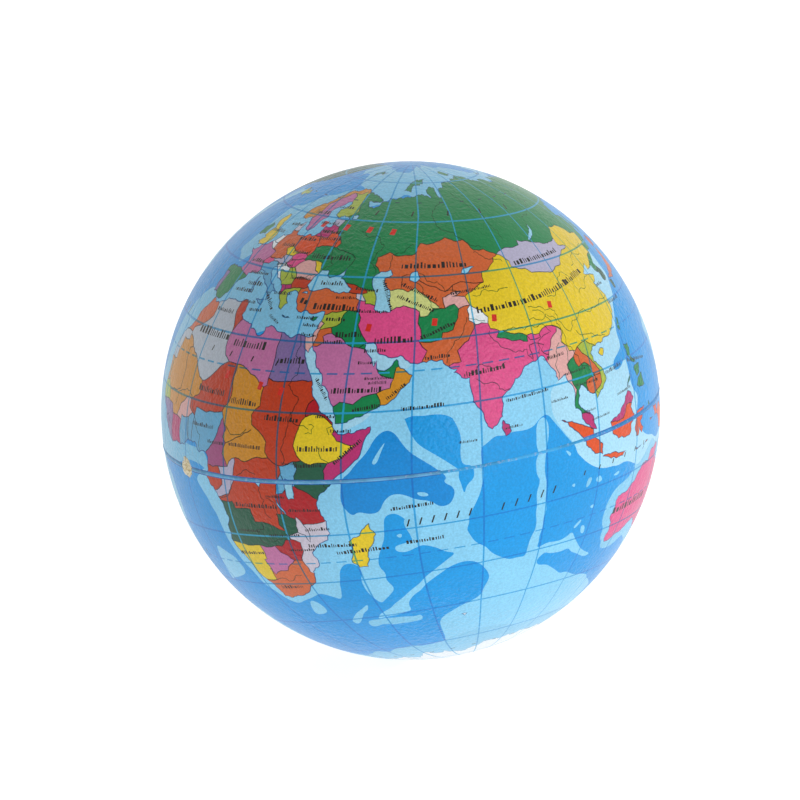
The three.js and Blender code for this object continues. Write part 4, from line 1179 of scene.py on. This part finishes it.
@dataclass
class PrintedDome:
    """One half of the ball's printed skin."""

    half: Half
    sizes: BallSizes
    world_map: WorldMap
    slip: PrintSlip
    rows_inside: int = 9

    @property
    def side(self) -> str:
        """The half's name in the CAD frame."""
        return self.half.name.lower()

    def build(self, finish: bpy.types.Material) -> bpy.types.Object:
        """Build the dome as a closed shell whose outer face carries the print.

        Args:
            finish: The skin's material.

        Returns:
            The finished piece.
        """
        flat, faces, colours = self.world_map.cut_inks(self.half, self.sizes)
        places = self.slip.place(from_disc(flat, self.half), self.sizes.radius)
        bm = bmesh.new()
        used = np.unique(faces)
        verts = {int(i): bm.verts.new(places[i]) for i in used}
        order = 1 if self.half is Half.NORTH else -1
        for face in faces:
            bm.faces.new([verts[int(i)] for i in face[::order]])
        self.add_inner_wall(bm)
        printed = len(faces)
        piece = make_piece(bm, f"printed_dome_{self.side}", finish)
        self.paint(piece.data, colours, printed)
        self.round_off(piece.data, printed)
        self.attach(piece)
        return piece

    def add_inner_wall(self, bm: bmesh.types.BMesh) -> None:
        """Turn the open dome into a shell: in through the rim, then up inside to the pole."""
        loop = [e for e in bm.edges if e.is_boundary]
        inner = self.sizes.radius - self.sizes.skin
        sign = self.half.value
        start: dict[bmesh.types.BMVert, tuple[float, float]] = {}
        for row in range(self.rows_inside):
            rise = (row / self.rows_inside) ** 1.2
            grown = bmesh.ops.extrude_edge_only(bm, edges=loop)["geom"]
            loop = [g for g in grown if isinstance(g, bmesh.types.BMEdge) and g.is_boundary]
            fresh = {v for g in loop for v in g.verts}
            for vert in fresh:
                lat = math.asin(max(-1.0, min(1.0, vert.co.z * sign / vert.co.length)))
                lon = math.atan2(vert.co.y, vert.co.x)
                if row == 0:
                    tilt = lat
                else:
                    done = ((row - 1) / self.rows_inside) ** 1.2
                    tilt = lat + (math.pi / 2 - lat) * (rise - done) / (1 - done)
                vert.co = Vector((math.cos(tilt) * math.cos(lon), math.cos(tilt) * math.sin(lon),
                                  math.sin(tilt) * sign)) * inner
        bmesh.ops.contextual_create(bm, geom=loop)
        bmesh.ops.poke(bm, faces=[f for f in bm.faces if len(f.verts) > 4])

    def paint(self, mesh: bpy.types.Mesh, colours: np.ndarray, printed: int) -> None:
        """Store each triangle's ink on its corners, and leave the inside as bare foam."""
        layer = mesh.color_attributes.new("print_ink", "FLOAT_COLOR", "CORNER")
        corners = np.tile(np.array(to_linear("#efe6cf")), (len(mesh.loops), 1))
        corners[:printed * 3] = np.repeat(colours, 3, axis=0)
        layer.data.foreach_set("color", corners.astype(np.float32).ravel())

    def round_off(self, mesh: bpy.types.Mesh, printed: int) -> None:
        """Shade the printed face as the true round surface."""
        normals = np.zeros((len(mesh.loops), 3), dtype=np.float32)
        corner_verts = np.zeros(len(mesh.loops), dtype=np.int32)
        mesh.loops.foreach_get("vertex_index", corner_verts)
        places = np.zeros(len(mesh.vertices) * 3, dtype=np.float32)
        mesh.vertices.foreach_get("co", places)
        out = places.reshape(-1, 3)[corner_verts[:printed * 3]]
        normals[:printed * 3] = out / np.linalg.norm(out, axis=1, keepdims=True)
        mesh.normals_split_custom_set(normals.tolist())

    def attach(self, piece: bpy.types.Object) -> None:
        """Hide the dome's CAD node and tie the dome to its body."""
        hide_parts(f"{self.side}_skin")
        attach(piece, f"{self.side}_half")
        self.sizes.squeezed_share
        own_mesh(piece)


@dataclass
class CorePiece:
    """Something that stays with the ball's middle."""

    sizes: BallSizes

    def attach(self, piece: bpy.types.Object, node: str, slot: str) -> None:
        """Hide a middle piece's CAD node and tie the piece to the core body."""
        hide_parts(node)
        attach(piece, "core")
        self.sizes.squeezed_share
        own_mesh(piece)


@dataclass
class PartingFlash(CorePiece):
    """The thin raised line where the mould halves met."""

    steps: int = 540
    gate_gap_deg: float = 2.6
    gate_azimuth_deg: float = 208.67
    inks: tuple[str, str, str] = ("#3a9fd8", "#2f88c6", "#62a6d2")
    clean_from: float = 66.0
    clean_to: float = 100.0
    solid_to: float = 240.0

    def build(self, finish: bpy.types.Material) -> bpy.types.Object:
        """Spin the line's profile round the ball and let its crest wander.

        Args:
            finish: The flash's material.

        Returns:
            The finished piece.
        """
        s = self.sizes
        root = s.radius - s.skin
        foot = s.flash_half
        profile = [(root, -foot), (s.radius - 0.02 * MM, -foot), (s.radius + 0.03 * MM, -0.62 * foot),
                   (s.crest_radius - 0.05 * MM, -0.25 * foot), (s.crest_radius - 0.04 * MM, 0.0),
                   (s.crest_radius - 0.05 * MM, 0.25 * foot), (s.radius + 0.03 * MM, 0.62 * foot),
                   (s.radius - 0.02 * MM, foot), (root, foot)]
        bm = bmesh.new()
        start = Matrix.Rotation(math.radians(self.gate_azimuth_deg + self.gate_gap_deg), 3, "Z")
        ring = [bm.verts.new(start @ Vector((r, 0, z))) for r, z in profile]
        face = bm.faces.new(ring)
        bmesh.ops.spin(bm, geom=[face], cent=(0, 0, 0), axis=(0, 0, 1),
                       angle=math.radians(360 - 2 * self.gate_gap_deg), steps=self.steps, use_merge=False,
                       use_duplicate=False)
        bmesh.ops.recalc_face_normals(bm, faces=bm.faces[:])
        for vert in bm.verts:
            reach = math.hypot(vert.co.x, vert.co.y)
            if reach > s.radius:
                turn = math.atan2(vert.co.y, vert.co.x)
                spot = Vector((math.cos(turn), math.sin(turn), 0))
                proud = 0.62 + 0.38 * noise.noise(spot * 18)
                wobble = 0.07 * MM * noise.noise(spot * 30 + Vector((0, 0, 5)))
                scale = (s.radius + (reach - s.radius) * min(1.0, proud)) / reach
                vert.co = Vector((vert.co.x * scale, vert.co.y * scale, vert.co.z + wobble))
        piece = make_piece(bm, "parting_line", finish)
        self.paint(piece.data)
        self.attach(piece, "parting_flash", "flash_paint")
        return piece

    def paint(self, mesh: bpy.types.Mesh) -> None:
        """Ink the line by longitude: nearly clean over open sea, a solid line east of it, a soft band elsewhere."""
        attribute = mesh.color_attributes.new("print_ink", "FLOAT_COLOR", "POINT")
        clean, solid, band = (to_linear(colour) for colour in self.inks)
        for vert, spot in zip(mesh.vertices, attribute.data):
            longitude = PrintSlip.facing_longitude + math.degrees(math.atan2(vert.co.x, -vert.co.y))
            if self.clean_from < longitude < self.clean_to:
                spot.color = clean
            else:
                spot.color = solid if self.clean_to <= longitude < self.solid_to else band


@dataclass
class GateStub(CorePiece):
    """The torn foam where the pour stub was snapped off."""

    azimuth_deg: float = 208.67

    def build(self, finish: bpy.types.Material) -> bpy.types.Object:
        """Build a lumpy plug whose outer end is torn just under the surface.

        Args:
            finish: The torn foam's material.

        Returns:
            The finished piece.
        """
        s = self.sizes
        bm = bmesh.new()
        bmesh.ops.create_cone(bm, cap_ends=True, segments=40, radius1=s.gate_radius * 1.02,
                              radius2=s.gate_radius * 1.02, depth=s.skin)
        top = [f for f in bm.faces if f.normal.z > 0.9]
        for share in (0.22, 0.28, 0.38):
            grown = bmesh.ops.inset_region(bm, faces=top, thickness=s.gate_radius * share, depth=0)
            del grown
        bmesh.ops.poke(bm, faces=top)
        turn = math.radians(self.azimuth_deg)
        out = Vector((math.cos(turn), math.sin(turn), 0))
        place = Matrix.Translation(out * (s.radius - s.skin / 2)) @ out.to_track_quat("Z", "Y").to_matrix().to_4x4()
        bmesh.ops.transform(bm, matrix=place, verts=bm.verts[:])
        for vert in bm.verts:
            if vert.co.dot(out) > s.radius - 0.1 * MM:
                across = (vert.co - out * vert.co.dot(out)).length / s.gate_radius
                lump = noise.noise(vert.co * 1600)
                vert.co = vert.co.normalized() * (s.radius + (0.1 * (1 - across) + 0.09 * lump) * MM)
        piece = make_piece(bm, "pour_mark", finish)
        self.attach(piece, "gate_stub", "bare_foam")
        return piece


@dataclass
class FoamCore(CorePiece):
    """The solid open-cell foam inside the skin."""

    gap: float = 0.3 * MM

    def build(self, finish: bpy.types.Material) -> bpy.types.Object:
        """Build the slightly uneven foam ball inside the skin.

        Args:
            finish: The foam's material.

        Returns:
            The finished piece.
        """
        s = self.sizes
        bm = bmesh.new()
        bmesh.ops.create_icosphere(bm, subdivisions=6, radius=s.radius - s.skin - self.gap)
        for vert in bm.verts:
            vert.co *= 1 - 0.004 * (0.5 + 0.5 * noise.noise(vert.co * 500))
        piece = make_piece(bm, "foam_middle", finish)
        self.attach(piece, "foam_core", "open_foam")
        return piece


@dataclass
class Studio:
    """Light table, soft light and a long lens."""

    sizes: BallSizes
    elevation_deg: float = 13.73
    roll_deg: float = 6.87
    distance: float = 0.3648
    lens_mm: float = 107.2
    aim_left: float = 1.6 * MM
    aim_up: float = 1.6 * MM
    table_reach: float = 60.0
    wall_reach: float = 1.4
    wall_height: float = 1.6
    room_light: float = 0.18
    key_watts: float = 2.1
    top_watts: float = 2.2

    def view_axes(self) -> tuple[Vector, Vector, Vector]:
        """Give the camera's right, up and back directions."""
        tilt, roll = math.radians(self.elevation_deg), math.radians(self.roll_deg)
        back = Vector((0, -math.cos(tilt), math.sin(tilt)))
        level, rise = Vector((1, 0, 0)), Vector((0, math.sin(tilt), math.cos(tilt)))
        right = math.cos(roll) * level - math.sin(roll) * rise
        up = math.sin(roll) * level + math.cos(roll) * rise
        return right, up, back

    def add_camera(self) -> None:
        """Place the camera a little off the ball's middle, tilted as it was held."""
        right, up, back = self.view_axes()
        eye = back * self.distance
        look = -right * self.aim_left + up * self.aim_up
        back = (eye - look).normalized()
        right = up.cross(back).normalized()
        up = back.cross(right)
        data = bpy.data.cameras.new("camera")
        data.lens = self.lens_mm
        data.sensor_width = 36
        data.clip_start = 0.01
        camera = bpy.data.objects.new("camera", data)
        camera.matrix_world = Matrix.Translation(eye) @ Matrix((right, up, back)).transposed().to_4x4()
        bpy.context.scene.collection.objects.link(camera)
        bpy.context.scene.camera = camera

    def add_light(self, name: str, toward: Vector, distance: float, size: float, power: float) -> None:
        """Hang one square soft box.

        Args:
            name: The lamp's name.
            toward: Direction from the ball to the lamp.
            distance: How far away it hangs, in metres.
            size: Width of the soft box in metres.
            power: Power in watts.
        """
        data = bpy.data.lights.new(name, "AREA")
        data.size = size
        data.energy = power
        lamp = bpy.data.objects.new(name, data)
        toward = toward.normalized()
        lamp.matrix_world = Matrix.Translation(toward * distance) @ toward.to_track_quat("Z", "Y").to_matrix().to_4x4()
        bpy.context.scene.collection.objects.link(lamp)

    def add_room(self) -> None:
        """Lay the light table and the curved wall behind, light the room and set the view transform."""
        acrylic = LitSweepFinish().build()
        table = bmesh.new()
        bmesh.ops.create_grid(table, x_segments=2, y_segments=2, size=self.table_reach)
        bmesh.ops.translate(table, verts=table.verts[:], vec=(0, 0, -self.sizes.radius))
        make_piece(table, "light_table", acrylic)
        wall = bmesh.new()
        foot = wall.verts.new((self.wall_reach, 0, -self.sizes.radius))
        head = wall.verts.new((self.wall_reach, 0, self.wall_height))
        rise = wall.edges.new((foot, head))
        bmesh.ops.spin(wall, geom=[rise, foot, head], cent=(0, 0, 0), axis=(0, 0, 1), angle=math.pi, steps=48,
                       use_merge=False, use_duplicate=False)
        make_piece(wall, "lit_wall", acrylic)
        world = bpy.data.worlds.new("studio_room")
        world.use_nodes = True
        world.node_tree.nodes["Background"].inputs["Color"].default_value = (1, 1, 1, 1)
        world.node_tree.nodes["Background"].inputs["Strength"].default_value = self.room_light
        bpy.context.scene.world = world
        bpy.context.scene.view_settings.view_transform = "Standard"
        right, up, back = self.view_axes()
        self.add_light("key_soft_box", 0.60 * right + 0.10 * up + 0.79 * back, 0.6, 0.45, self.key_watts)
        self.add_light("top_soft_box", Vector((0, 0.3, 1)), 1.0, 0.8, self.top_watts)

    def build(self) -> None:
        """Set up the whole studio."""
        self.add_camera()
        self.add_room()


def main() -> None:
    """Build every sub-assembly in order."""
    logging.basicConfig(level=logging.INFO, format="%(message)s")
    sizes = BallSizes()
    Studio(sizes).build()
    skin = PadPrintedSkinFinish().build()
    foam = BareFoamFinish().build()
    flash = FlashPaintFinish().build()
    world_map, slip = WorldMap(), PrintSlip()
    pieces = [PrintedDome(half, sizes, world_map, slip).build(skin) for half in Half]
    pieces.append(PartingFlash(sizes).build(flash))
    pieces.append(GateStub(sizes).build(foam))
    pieces.append(FoamCore(sizes).build(foam))
    for piece in pieces:
        log.info("%s: %d faces", piece.name, len(piece.data.polygons))


if __name__ == "__main__":
    main()
